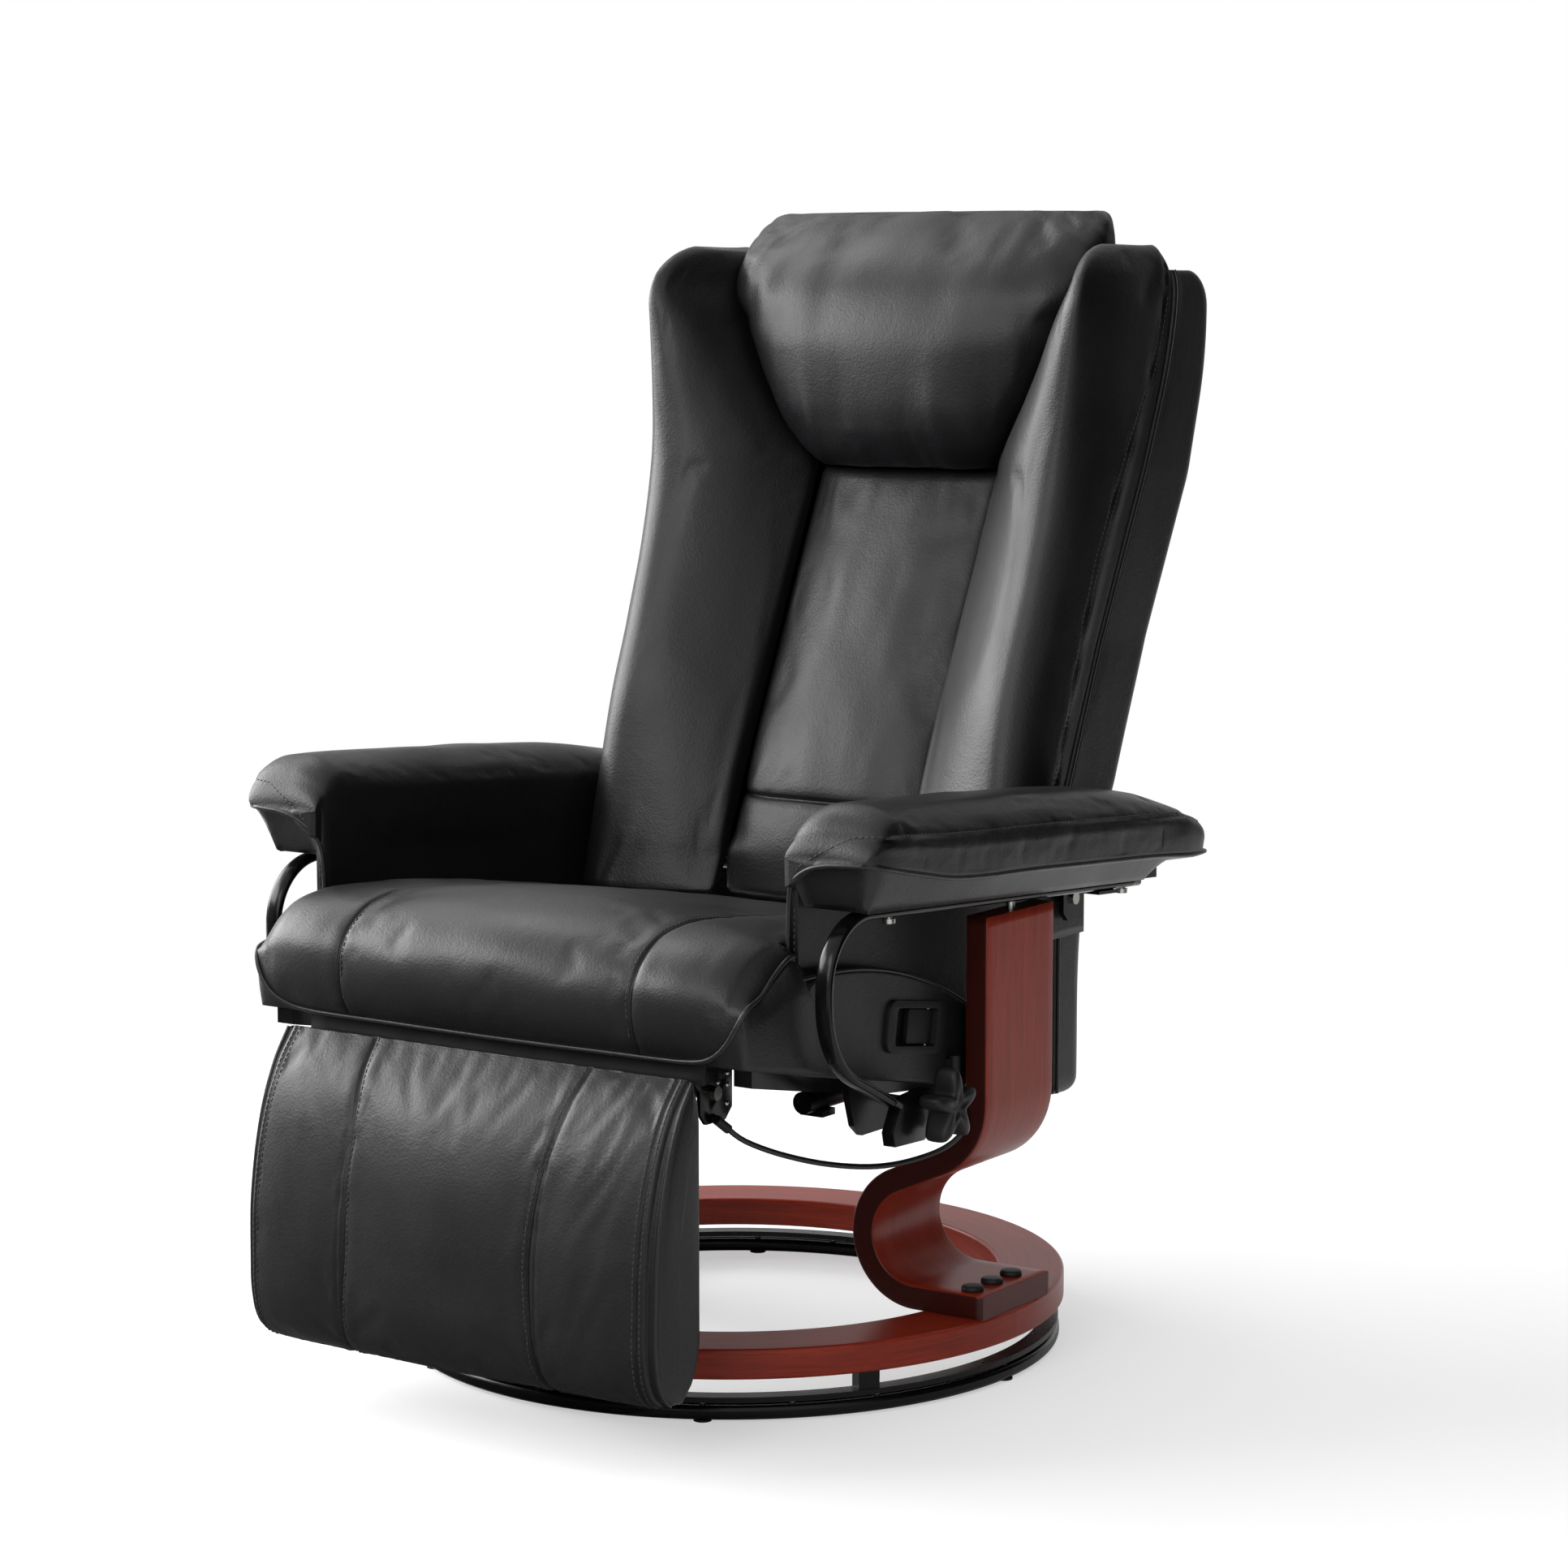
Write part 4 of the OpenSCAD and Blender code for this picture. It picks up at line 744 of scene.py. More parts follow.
SEAT_HALF, SEAT_REAR_HALF, SEAT_REAR, SEAM_X = 264.0, 249.0, 113.0, 158.0
ROLL_Y, ROLL_Z, ROLL_DEEP, ROLL_HIGH, ROLL_LOW = -290.0, 385, 87, 61, 74
SEAT_TOP, SEAT_LOW, SEAT_FRONT = 446.0, 342.0, -345


def seat_line(y):
    return SEAT_TOP - 62 * np.clip((y - ROLL_Y) / (SEAT_REAR - ROLL_Y), 0, None) ** 1.3


def seat_edge(x):
    """How far the rounded edge has fallen at a distance from the middle, from 0 to 1"""
    return curved(ramp(x, SEAT_HALF - 34, SEAT_HALF))


def seat_end(a):
    """How far the rounded edge falls in all, at an angle of the front roll"""
    return flow(a, [(-45, 20), (-30, 20), (-15, 18), (0, 17), (10, 28), (20, 34), (30, 36), (45, 34),
                    (60, 31), (75, 27), (90, 23)])


def seat_roll(a, inset):
    """Front roll as (y, z): the angle is 0 at its foremost line and 90 on top"""
    c, s = np.cos(np.radians(a)), np.sin(np.radians(a))
    return points(ROLL_Y - (ROLL_DEEP - inset) * c,
                  ROLL_Z + np.where(np.less(a, 0), ROLL_LOW, ROLL_HIGH - inset) * s)


def seat_ring(x):
    """Section of the seat at one place across it, as (y, z)"""
    ax = abs(x)
    back = SEAT_REAR if ax <= SEAT_REAR_HALF + 0.2 else -283.0
    e = seat_edge(ax)
    crown = (1 - e) * 14 * (ax / SEAT_HALF) ** 2
    puff = 0
    if ax < SEAM_X:
        puff = 4.5 * (1 - (ax / SEAM_X) ** 2)
    elif ax < 256:
        puff = 4.5 * (1 - ((ax - 207) / 49) ** 2)
    tuck = 9 * curved(ramp(ax, 226, 250))

    def inset(a):
        return e * seat_end(a) + ramp(a, -45, 0) * (crown - puff)

    a = np.linspace(-42, 86, 27)
    front = seat_roll(a, inset(a))
    drop = inset(90.0)
    lift = 0.1 * drop
    front[a < -30, 1] += lift
    run = max(back - 14 - ROLL_Y, (back - 6 - ROLL_Y) * 0.9)
    y = ROLL_Y + np.linspace(0, 1, 46) * run
    part = (y - ROLL_Y) / (SEAT_REAR - 14 - ROLL_Y)
    top = points(y, seat_line(y) - drop * (1 - 0.45 * part) - tuck * ease(ramp(y, -292, -262)))
    y1, z1 = top[-1]
    b = np.radians(np.linspace(15, 90, 6))
    rear = points(y1 + (back - y1) * np.sin(b), z1 - 12 * (1 - np.cos(b)))
    down = points(back, np.linspace(z1 - 16, seat_deck(back) + 6, 5))
    yd = np.linspace(back - 5, SEAT_FRONT, 30)
    deck = points(yd, seat_deck(yd))
    lip = np.array([[SEAT_FRONT, 356], [SEAT_FRONT, SEAT_LOW - 2 + lift]])
    return np.concatenate([front, top, rear, down, deck, lip])


seat_x = np.r_[-264, -263.2, -261.5, -258.5, -254.5, -250.2, spread((-249, 249), 5.0, (-158, 158)),
               250.2, 254.5, 258.5, 261.5, 263.2, 264]
rings = sections(seat_ring, seat_x, 0)
if SIM:
    cx = np.r_[-264, -261, -256, -250.2, np.linspace(-249, 249, 84), 250.2, 256, 261, 264]
    coarse = sections(seat_ring, cx, 0)
    ax = np.abs(coarse[:, :, 0])
    held = (np.abs(ax - SEAM_X) < 3.4) | (ax > 249.5)
    held[:, :3] = held[:, 78:] = True
    rings = rings + between(cx, settle("seat", coarse, held, pressure=1.6, swell=0.002, cap=2), seat_x)
nrm = grid_normals(rings)
ax = np.abs(rings[:, :, 0])
arc_at = np.cumsum(np.linalg.norm(np.diff(rings, axis=1, prepend=rings[:, :1]), axis=2), axis=1)
shown = np.zeros(rings.shape[1])
shown[2:76] = 1
height = pucker(ax - SEAM_X, arc_at, 2.2, width=1.4, swell=0.6, wave=13, seed=3.0)
height += 1.1 * smooth_noise(rings, (60, 26, 60), 4.2)
height += 0.8 * smooth_noise(rings, (14, 50, 50), 8.1) * hill(ax, 235, 20)
rings = rings + nrm * (height * shown)[:, :, None]
# The seams' grooves are marked for painted shade in the leather's colour
seat_leather = make("seat_leather", *skin(rings), mat_leather, seam=hill(ax, SEAM_X, 1.1) * shown)
place(seat_leather, "seat", "black_leather", "seat_cushion")

# Piping along the roll's underside and up both ends, by distance from the middle and angle of the roll
front_edge = [(0, -40), (60, -40), (120, -40), (175, -40), (205, -39), (225, -36), (241, -29), (253, -19),
              (261, -7), (264, 4), (264.5, 15), (264.5, 27), (264.5, 40), (264.5, 55), (264.5, 70), (264, 84)]
half_line = [(x, *seat_roll(a, seat_edge(x) * seat_end(a))) for x, a in front_edge]
half_line = lay_on(seat_leather, half_line, 0.9)
half_line = np.concatenate([half_line, [(263, -286, half_line[-1][2])]])
piping("seat_piping", [np.concatenate([mirrored(half_line)[:0:-1], half_line])], "seat")
rows = []
for side in (-1, 1):
    k = int(np.argmin(np.abs(seat_x - side * (SEAM_X - 4.2))))
    rows.append(lay_on(seat_leather, rings[k, 4:70:3], 0.15))
stitches("seat_stitching", rows, "seat")


# Upholstered seat sides

ARCH_Y, ARCH_Z, ARCH_RADIUS = -268, -92, 496


def side_outline():
    """A side as (y, z): its arched top, the corner under it and the front"""
    arch = arc(ARCH_Y, ARCH_Z, ARCH_RADIUS, 90, 60, 30)
    low = [(-15, 325), (-15, side_low(-15)), (-290, side_low(-290))]
    front = [(-292, 350), (-291, 380), (-284, 398), (-272, 403.5)]
    pts = np.concatenate([arch, low, front, arch[:1]])
    even = at_distances(pts, np.linspace(0, distances(pts)[-1], 240, endpoint=False))
    return blurred(even, 3)


def seat_side(name, flip):
    """A padded board's outline given thickness, its edges rounded by a bevel"""
    outline = side_outline()
    n = len(outline)
    pts = np.concatenate([np.c_[np.full(n, x), outline] for x in (264.7, 277.0)])
    if flip:
        pts = mirrored(pts)
    faces = [list(range(n))[::-1], list(range(n, 2 * n))]
    faces += [[i, (i + 1) % n, n + (i + 1) % n, n + i] for i in range(n)]
    obj = make(name, pts, faces, mat_leather)
    pick(obj)
    bpy.ops.object.mode_set(mode="EDIT")
    bpy.ops.mesh.select_all(action="SELECT")
    bpy.ops.mesh.normals_make_consistent(inside=False)
    bpy.ops.object.mode_set(mode="OBJECT")
    bevel(obj, 4.5, 5, 60)
    return obj


# The corner's stations as (y, distance out, top)
CORNER = [(-262, 277.2, 404.2), (-270, 277.2, 405), (-278, 277.2, 408.5), (-285, 277.2, 414),
          (-292, 277.1, 418.5), (-300, 276.6, 419), (-310, 275.3, 414), (-321, 273, 407.5),
          (-330, 271.5, 400.5), (-337, 270, 395.5), (-345, 268, 391.5), (-352, 265.8, 387),
          (-358, 263.5, 382), (-362, 260.5, 375), (-364.5, 256, 366.5), (-365.5, 249.5, 358.5),
          (-365, 240, 350), (-362, 228, 343.5), (-358.5, 214, 339.8)]


def corner_rings():
    """The side's leather carried round the front corner to the cushion's piping"""
    rows = []
    u = np.linspace(0, 1, 14)
    for y, out, top in resample(CORNER, 3.0):
        low = side_low(y) - 0.4
        z = low + (top - low) * u
        tuck = ramp(out, 262, 274) * 11 * ramp(u, 0.72, 1) ** 2
        bulge = 1.2 * ramp(y, -275, -300)
        outer = points(out - tuck + bulge * np.sin(np.pi * u), y + 5 * (1 - u), z)
        inner = points(out - 18, y + 12, z[::-1])
        rows.append(np.concatenate([outer, inner]))
    return np.array(rows)


side_left = seat_side("seat_side_leather_left", False)
side_right = seat_side("seat_side_leather_right", True)
# The left side is recessed for the handle's bezel
bpy.ops.mesh.primitive_cube_add(size=1, location=(0.2765, -0.122, 0.338), rotation=(math.radians(-9), 0, 0),
                                scale=(0.020, 0.0722, 0.0392))
cutter = bpy.context.object
cut = side_left.modifiers.new("recess", "BOOLEAN")
cut.object, cut.operation, cut.solver = cutter, "DIFFERENCE", "EXACT"
pick(side_left)
bpy.ops.object.modifier_apply(modifier="recess")
side_left.select_set(False)
bpy.data.objects.remove(cutter)
for polygon in list(side_left.data.polygons) + list(side_right.data.polygons):
    polygon.use_smooth = abs(polygon.normal.x) < 0.98
place(side_left, "seat", "black_leather", "seat_side_left")
place(side_right, "seat", "black_leather", "seat_side_right")
corner_pts, corner_faces = skin(corner_rings(), caps=())
corner_pieces = [(corner_pts, corner_faces), (mirrored(corner_pts), corner_faces)]
place(join_pieces("seat_corner_leather", corner_pieces, mat_leather), "seat", "black_leather")

# Black cambric tacked under the seat, between the sides and clear of the fixed beam
DUST_COVER = ((((-345.6, 317), (-344.6, 326), (-343, 335), (-338, 341), (-320, 340), (-210, 318)), 214),
              (((-211, 312), (-120, 294), (-26, 275)), 221))
sheets = []
for stations, half in DUST_COVER:
    rows = []
    x = np.linspace(-half, half, 24)
    for y, z0 in resample([(0, y, z) for y, z in stations], 8.0)[:, 1:]:
        z = z0 - 2.5 * (1 - (x / half) ** 2)
        rows.append(np.concatenate([np.c_[x, np.full(24, y), z],
                                    np.c_[x, np.full(24, y + 1.0), z + 1.0][::-1]]))
    sheets.append(skin(np.array(rows), caps=()))
place(join_pieces("seat_dust_cover", sheets, mat_cambric), "seat", "webbing")
arch_line = np.c_[np.full(14, 274.8), arc(ARCH_Y, ARCH_Z, ARCH_RADIUS, 94, 60, 14) + (0, 0.2)]
arch_line[0, 0] = 270
piping("seat_side_piping", [arch_line, mirrored(arch_line)], "seat", r=1.9)


# Footrest pad

FOOT_HALF, FOOT_LOW, FOOT_HIGH, FOOT_BACK, FOOT_T, FOOT_SEAM = 220.0, 57.0, 326.0, -360.0, 81.0, 106.0
FOOT_FRONT_POINTS = 60


def foot_ring(x):
    """Section of the pad at one place across it, as (y, z)"""
    ax = abs(x)
    rnd = curved(ramp(ax, FOOT_HALF - 12, FOOT_HALF), 0.98)
    wide = ramp(ax, FOOT_HALF - 40, FOOT_HALF)
    puff = 0.045 * (1 - (ax / FOOT_SEAM) ** 2) if ax < FOOT_SEAM else 0.05 * (1 - ((ax - 164) / 52) ** 2)
    full = 1 - 0.13 * (ax / FOOT_HALF) ** 2 - 0.13 * rnd - 0.03 * wide * wide + puff
    low, high = FOOT_LOW + 4 * rnd, FOOT_HIGH - 4 * rnd
    s = (1 - np.cos(np.linspace(0, np.pi, FOOT_FRONT_POINTS))) / 2
    bulge = flow(s, [(0, 0.66), (0.03, 0.82), (0.1, 0.95), (0.2, 1), (0.4, 0.98), (0.55, 0.92), (0.75, 0.72),
                     (0.9, 0.45), (1, 0.14)])
    front = points(FOOT_BACK - FOOT_T * full * bulge, low + s * (high - low))
    s2 = np.r_[np.linspace(1, 0.1, 16), 0.07, 0.04, 0.02, 0]
    rear = flow(s2, [(0, -24), (0.04, -12), (0.1, -4), (0.16, -0.4), (0.9, -0.4), (1, -9)])
    back = points(FOOT_BACK + rear - 1.5 * rnd, low + s2 * (high - low) + np.where(s2 == 0, -1.5, 0))
    return np.concatenate([front, back])


def foot_seam(z):
    """The pad's seams bow in towards the middle"""
    return flow(z, [(57, 108), (110, 102), (170, 99), (230, 102), (290, 111), (326, 117)])


foot_x = spread((-220, 220), 4.5, (-107, 107, -211, 211), width=14)
foot_x = np.unique(np.round(np.r_[foot_x, -219.3, -218, 218, 219.3], 3))
rings = sections(foot_ring, foot_x, 0)
if SIM:
    cx = np.linspace(-220, 220, 82)
    coarse = sections(foot_ring, cx, 0)
    ax = np.abs(coarse[:, :, 0])
    held = (np.abs(ax - foot_seam(coarse[:, :, 2])) < 3) | (ax > 206)
    held[:, 0] = held[:, FOOT_FRONT_POINTS - 1:] = True
    rings = rings + between(cx, settle("foot", coarse, held, pressure=1.6, swell=0.003, cap=2), foot_x)
nrm = grid_normals(rings)
xx, zz = rings[:, :, 0], rings[:, :, 2]
ax = np.abs(xx)
shown = np.zeros(rings.shape[1])
shown[1:FOOT_FRONT_POINTS - 1] = 1
height = pucker(ax - foot_seam(zz), zz, 2.2, width=1.4, swell=0.7, wave=12, seed=7.0)
height += -2.6 * hill(ax, 215, 2.0) - 1.4 * hill(ax, 206, 1.4)
# Creases fan out from the outer seam's top corner down towards the side
slant = points((xx * 0.86 - np.sign(xx) * zz * 0.5) / 15, rings[:, :, 1] / 60,
               (ax * 0.5 + zz * 0.86) / 75)
fan = hill(ax, 164, 34) * (0.35 + 0.65 * ramp(zz, 120, 280)) * np.where(xx > 0, 1.0, 0.45)
height += fan * 2.3 * ((1 - np.abs(noise_at(slant)) * 1.6).clip(0) ** 2 - 0.35)
height += 0.8 * smooth_noise(rings, (70, 40, 55), 1.7)
rings = rings + nrm * (height * shown)[:, :, None]
# Painted shade in the seam grooves and in the two grooves along each edge
seam = hill(ax, foot_seam(zz), 1.1) + hill(ax, 215, 2.0) + 0.7 * hill(ax, 206, 1.2)
foot_caps = ((0.985, 0.5), (0.95, 1.2), (0.85, 2.0), (0.6, 2.6), (0.3, 2.8))
foot_leather = make("footrest_leather", *skin(rings, foot_caps), mat_leather, seam=(seam * shown).clip(0, 1))
place(foot_leather, "footrest_panel", "black_leather", "footrest_pad")


def foot_row(x):
    """The pad's ring nearest to a distance across it"""
    return rings[int(np.argmin(np.abs(foot_x - x)))]


lines = []
edge_lines = []
for side in (-1, 1):
    for x0 in (203, 209.5):
        lines.append(lay_on(foot_leather, foot_row(side * x0)[2:58:3], 0.15))
    mid_row = foot_row(side * 103)[2:58:3].copy()
    mid_row[:, 0] = side * (foot_seam(mid_row[:, 2]) - 4)
    lines.append(lay_on(foot_leather, mid_row, 0.15))
    edge_lines.append(lay_on(foot_leather, foot_row(side * 218.4)[1:59:2], 0.2))
stitches("footrest_stitching", lines, "footrest_panel")
piping("footrest_piping", edge_lines, "footrest_panel", r=1.9)


# Arms

ARM_IN, ARM_OUT, PANEL_OUT = 251.5, 345.5, 262.5
ARM_FRONT, ARM_REAR = -288, 302


def arm_bottom(y):
    """Lower edge of the upholstered panel that hangs from the pad"""
    return np.interp(y, [-278, -28, 100, 118, 196], [side_low(-278) + 55, side_low(-28) + 55, 352, 376, 376])


def arm_seam(y):
    """Height of the seam along the pad's outer side"""
    return flow(y, [(-290, 527), (-270, 523), (-213, 518), (-132, 511), (-47, 506), (133, 494), (250, 486),
                    (302, 482)])


def arm_lip(y):
    """Height of the pad's lower outer edge, where the piping runs"""
    return flow(y, [(-290, 503), (-270, 500), (-218, 490), (-164, 480), (-109, 475), (-52, 472), (67, 464),
                    (192, 455), (265, 448), (302, 446)])


def arm_under(y):
    """Underside of the pad as (x, z): drawn round the board's edge, turned up to the lip ahead of it"""
    lip = arm_lip(y)
    board_low = arm_floor(y) - 14.6
    ahead = ease(ramp(y, -264, -286))
    skirt = board_low + 15.6 * ramp(y, 205, 236)
    roof = pad_low(y) + 1.0 if y > -262.4 else board_low
    behind = np.array([(320.6, skirt), (319.4, skirt), (319.2, roof), (290, roof), (PANEL_OUT, roof)])
    before = np.array([(322, lip - 1.5), (306, 500), (284, 496), (268, 488), (PANEL_OUT, 481)])
    return behind + (before - behind) * ahead


def arm_ring(y):
    """Section of an arm at one place along it, as (x, z): up the inside, over the top and back under it"""
    d, f = y - ARM_FRONT, ARM_REAR - y
    nose = (1 - (1 - min(1, max(0.012, d) / 62)) ** 3) ** (1 / 2.3)
    swept = flow(f, [(0, 0.3), (5, 0.42), (17, 0.52), (52, 0.68), (102, 0.82), (182, 0.93), (300, 0.97)])
    rise = 78 * min(nose, swept)
    lip = arm_lip(y)
    tail = flow(f, [(0, 1), (10, 0.45), (26, 0.1), (52, 0)])
    high = max(arm_floor(y) + rise, lip + 30 * math.sqrt(min(1, max(0.02, d) / 13)))
    out_in = 15 * (1 - nose) ** 1.1 + 20 * tail
    x0, x1 = ARM_IN + min(4.0, out_in), ARM_OUT - out_in
    panel = -278.6 <= y <= 196.4
    xc, zm = (x0 + x1) / 2 - 4, lip + 0.42 * (high - lip)
    below = np.concatenate([[(x1 - 3.5, lip - 0.5)], arm_under(y)])
    root = below[-1, 1]
    if panel:
        face_x, bottom = ARM_IN + (1.5 if y < -274 else 0), arm_bottom(y)
        back_x, back_z = PANEL_OUT, np.linspace(root - 1, bottom, 10)
    else:
        face_x, bottom = x0, root - 1.5
        back_x, back_z = x0 + 7, np.linspace(root - 0.6, bottom, 10)
    c, s = power_arc(np.linspace(180, 90, 22), 2.05)
    inner_top = points(xc + c * (xc - x0), zm + s * (high - zm))
    c, s = power_arc(np.linspace(88, 0, 24), 2.7)
    outer_top = points(xc + c * (x1 - xc), zm + s * (high - zm))
    face_z = np.linspace(bottom, zm, 34)[:-1]
    face = points(face_x + ramp(face_z, root - 20, zm) ** 2 * (x0 - face_x), face_z)
    outer = np.linspace((x1, zm), (x1 - 1.5, lip + 1.5), 12)[1:]
    at = distances(below)
    under = at_distances(below, np.sort(np.r_[at, np.linspace(0, at[-1], 9)[1:-1]]))
    back = points(back_x, back_z)
    return np.concatenate([face, inner_top, outer_top, outer, under, back])


# Point of an arm's ring at which the underside begins: after the face, both top parts and the outer side
RIM = 33 + 22 + 24 + 11
arm_y = np.r_[-288, -287.6, -287, -286, -284.5, -282.5, -280.5, -279, -278.2, -276.5, -274, -271, -267, -262,
              np.arange(-256, 190, 5.0), 192, 195, 196.3, 197, 200, np.arange(205, 280, 5.0),
              283, 288, 292, 296, 299, 301, 302]
rings = sections(arm_ring, arm_y, 1)
if SIM:
    cy = np.r_[-288, -284, -279, -278.2, -272, np.arange(-265, 195, 6.0), 196.3, 197,
               np.arange(203, 300, 6.0), 302]
    coarse = sections(arm_ring, cy, 1)
    held = np.zeros(coarse.shape[:2])
    held[:, :24] = held[:, RIM - 2:] = 1
    held[np.abs(coarse[:, :, 2] - arm_seam(coarse[:, :, 1])) < 3] = 0.75
    held[:4] = held[-2:] = 1
    rings = rings + between(cy, settle("arm", coarse, held, pressure=1.2, swell=0.001, cap=2), arm_y)
nrm = grid_normals(rings)
xx, yy, zz = np.moveaxis(rings, 2, 0)
outer_side = ramp(xx, 322, 334) * (yy > -268)
dist = zz - arm_seam(yy)
front_seam = [(344, -262, 522), (340, -276, 524), (330, -285, 527), (318, -288.5, 528), (305, -289.5, 518),
              (290, -289.5, 507), (279, -288, 500), (268, -285, 491), (262, -281, 478)]
near = near_line(rings, front_seam)
# Painted shade along the outer side seam's groove and the front seam's groove
mark = (hill(dist, 0, 1.5) * outer_side + hill(near, 0, 1.5)).clip(0, 1)
height = outer_side * (-1.8 * hill(dist, 0, 1.8) + 0.7 * hill(np.abs(dist), 7, 5))
height += -1.4 * hill(near, 0, 1.8) + 0.9 * smooth_noise(rings, (40, 60, 40), 5.5)
height[:, RIM - 1:] = 0
rings = rings + nrm * height[:, :, None]
arm_leather = pair("arm_leather", skin(rings, ((0.8, 0.6), (0.5, 1.0), (0.2, 1.2))), mat_leather,
                   "swivel_base", "black_leather", ("arm_pad", "arm_panel"), fill=0.75, seam=mark)
# Piping up the panel's front, round the pad's nose, along its lip and round its rear end
front_low = arm_bottom(-278)
lip_line = [(252.5, -279.5, front_low + 4), (252.5, -279.5, 420), (253.5, -279.8, 450), (255, -281, 468),
            (259, -284.5, 481), (267, -287.5, 489), (281, -289.3, 497), (299, -289.6, 501),
            (316, -289.2, 502), (328, -287, 502.5), (337, -281, 502), (342, -271, 500)]
lip_line += [tuple(rings[i, RIM] + (0.6, 0, -0.6)) for i in range(17, len(arm_y) - 9, 4)]
lip_line += [(338, 290, 446.5), (330, 298, 446), (315, 303, 446), (292, 304, 446), (268, 303, 446)]
piping("arm_piping", [lip_line, mirrored(lip_line)], "swivel_base", r=2.1)
rows = [[(344, y, arm_seam(y) + 4) for y in np.arange(-262, 286, 16.0)],
        np.array(front_seam) + (0, 0, 4.0),
        [(258.5, -282, z) for z in range(int(front_low) + 12, 470, 12)]]
rows = [lay_on(arm_leather, row, 0.15) for row in rows]
stitches("arm_stitching", rows + [mirrored(r) for r in rows], "swivel_base")


# Back: middle cushion

def cushion_ring(half, front, rear, mid, front_power, rear_power, n):
    """Section as (x, y) from two half superellipses that meet where the cushion is widest"""
    a = np.arange(n) * 360 / n
    c, s = power_arc(a, rear_power)
    cf, sf = power_arc(a, front_power)
    return points(half * np.where(s < 0, cf, c), mid + np.where(s < 0, sf * (mid - front), s * (rear - mid)))


def middle_ring(z):
    """Section of the cushion at one height, as (x, y)"""
    end = 7 * curved(1 - min(ramp(z, 388, 395), ramp(z, 794, 787)), 0.98)
    half = 105.5 - 0.4 * end
    rear = back_line(z) + 20
    if z < 445:
        rear = np.interp(z, [430, 445], [154, back_line(445) + 20])
    front = middle_front(z) + end
    return cushion_ring(half, front, rear, rear - 0.35 * (rear - front), 2.5, 5, 88)


CROSS_SEAM_Z = 484
mid_z = spread((388, 794), 5.0, (CROSS_SEAM_Z,), width=9, fine_step=1.3)
rings = sections(middle_ring, mid_z, 2)
if SIM:
    cz = np.linspace(388, 794, 82)
    coarse = sections(middle_ring, cz, 2)
    held = coarse[:, :, 1] > back_line(coarse[:, :, 2]) - 12
    held[np.abs(cz - CROSS_SEAM_Z) < 3] = True
    held[:1] = held[-1:] = True
    move = settle("middle", coarse, held, pressure=1.2, swell=0.001, cap=2)
    move[:, :, 0] *= 0.1
    rings = rings + between(cz, move, mid_z)
nrm = grid_normals(rings)
xx, yy, zz = np.moveaxis(rings, 2, 0)
dist = zz - CROSS_SEAM_Z
face = ramp(np.abs(xx), 102, 92) * (nrm[:, :, 1] < 0)
height = pucker(dist, xx, 3.4, width=1.6, swell=0.5, wave=14, seed=5.0)
height *= np.clip((105 - np.abs(xx)) / 6, 0.2, 1)
height -= 3.6 * np.exp(-np.abs(dist) / 10)
height += face * 1.3 * smooth_noise(rings, (26, 60, 80), 9.4)
height += face * 2.2 * hill(zz, 770, 26) * smooth_noise(rings, (12, 40, 60), 2.2)
height *= nrm[:, :, 1] < 0.3
rings = rings + nrm * height[:, :, None]
# Painted shade in the cross seam's groove
back_middle = make("back_middle_leather", *skin(rings), mat_leather, seam=hill(dist, 0, 1.3) * 0.8)
place(back_middle, "back", "black_leather", "back_cushion")


# Back: bolsters

# Place across a bolster at which it stands highest, from 0 at its inner face to 1 at its outer one
RIDGE = 0.74
# The seam on a bolster's outer side as (z, y)
SIDE_SEAM = [(388, 128), (470, 150), (517, 166), (567, 182), (641, 206), (714, 230), (787, 264), (846, 297),
             (906, 334), (977, 356), (1000, 362)]


def valley(z):
    """Depth at which a bolster meets the middle cushion or the pillow"""
    return np.where(z < 797, middle_front(z) + 3, pillow_front(z) + flow(z, [(797, 26), (830, 36)]))


def bolster_inner(z):
    """Inner face of a bolster: straight beside the cushion, then along the pillow"""
    return flow(z, [(388, 106.1), (770, 106.1), (797, 107.5), (821, 119.8), (858, 145), (896, 166.8),
                    (940, 187), (985, 204.8), (1012, 205)])


def bolster_ring(z):
    """Section of the left bolster at one height, as (x, y)"""
    top = curved(ramp(z, 950, 1012.5))
    low = 5 * curved(1 - ramp(z, 388, 394), 0.98)
    x0 = bolster_inner(z) + low + 8 * top
    x1 = half_back(z) - 0.4 - low - 20 * top
    front = bolster_front(z) + low + 72 * top
    rear = back_line(z) - (1.6 if z > 865 else 0.7) - 12 * top
    inner = min(valley(z) + 20 * top, rear - 16)
    w, flank = x1 - x0, rear - 22
    fall = flow(z, [(388, 1.4), (640, 1.4), (780, 1.65), (900, 2.2), (1012, 2.4)])
    peak = x0 + RIDGE * w
    slope = np.linspace(0, 1, 40)
    face = points(x0 + slope * RIDGE * w, front + (inner - front) * (1 - slope) ** fall)
    a = np.radians(np.linspace(2, 90, 26))
    outer = points(peak + (x1 - peak) * np.sin(a) ** 0.84, flank - (flank - front) * np.cos(a) ** 0.84)
    side = points(x1, np.linspace(flank, rear - 5, 5)[1:])
    turn = arc(x1 - 5, rear - 5, 5, 30, 90, 3)
    behind = points(np.linspace(x1 - 5, x0 + 5, 9)[1:], rear)
    wall = points(x0, np.linspace(rear - 5, inner, 10)[:-1])
    return blurred(np.concatenate([face, outer, side, turn, behind, wall]), 2)


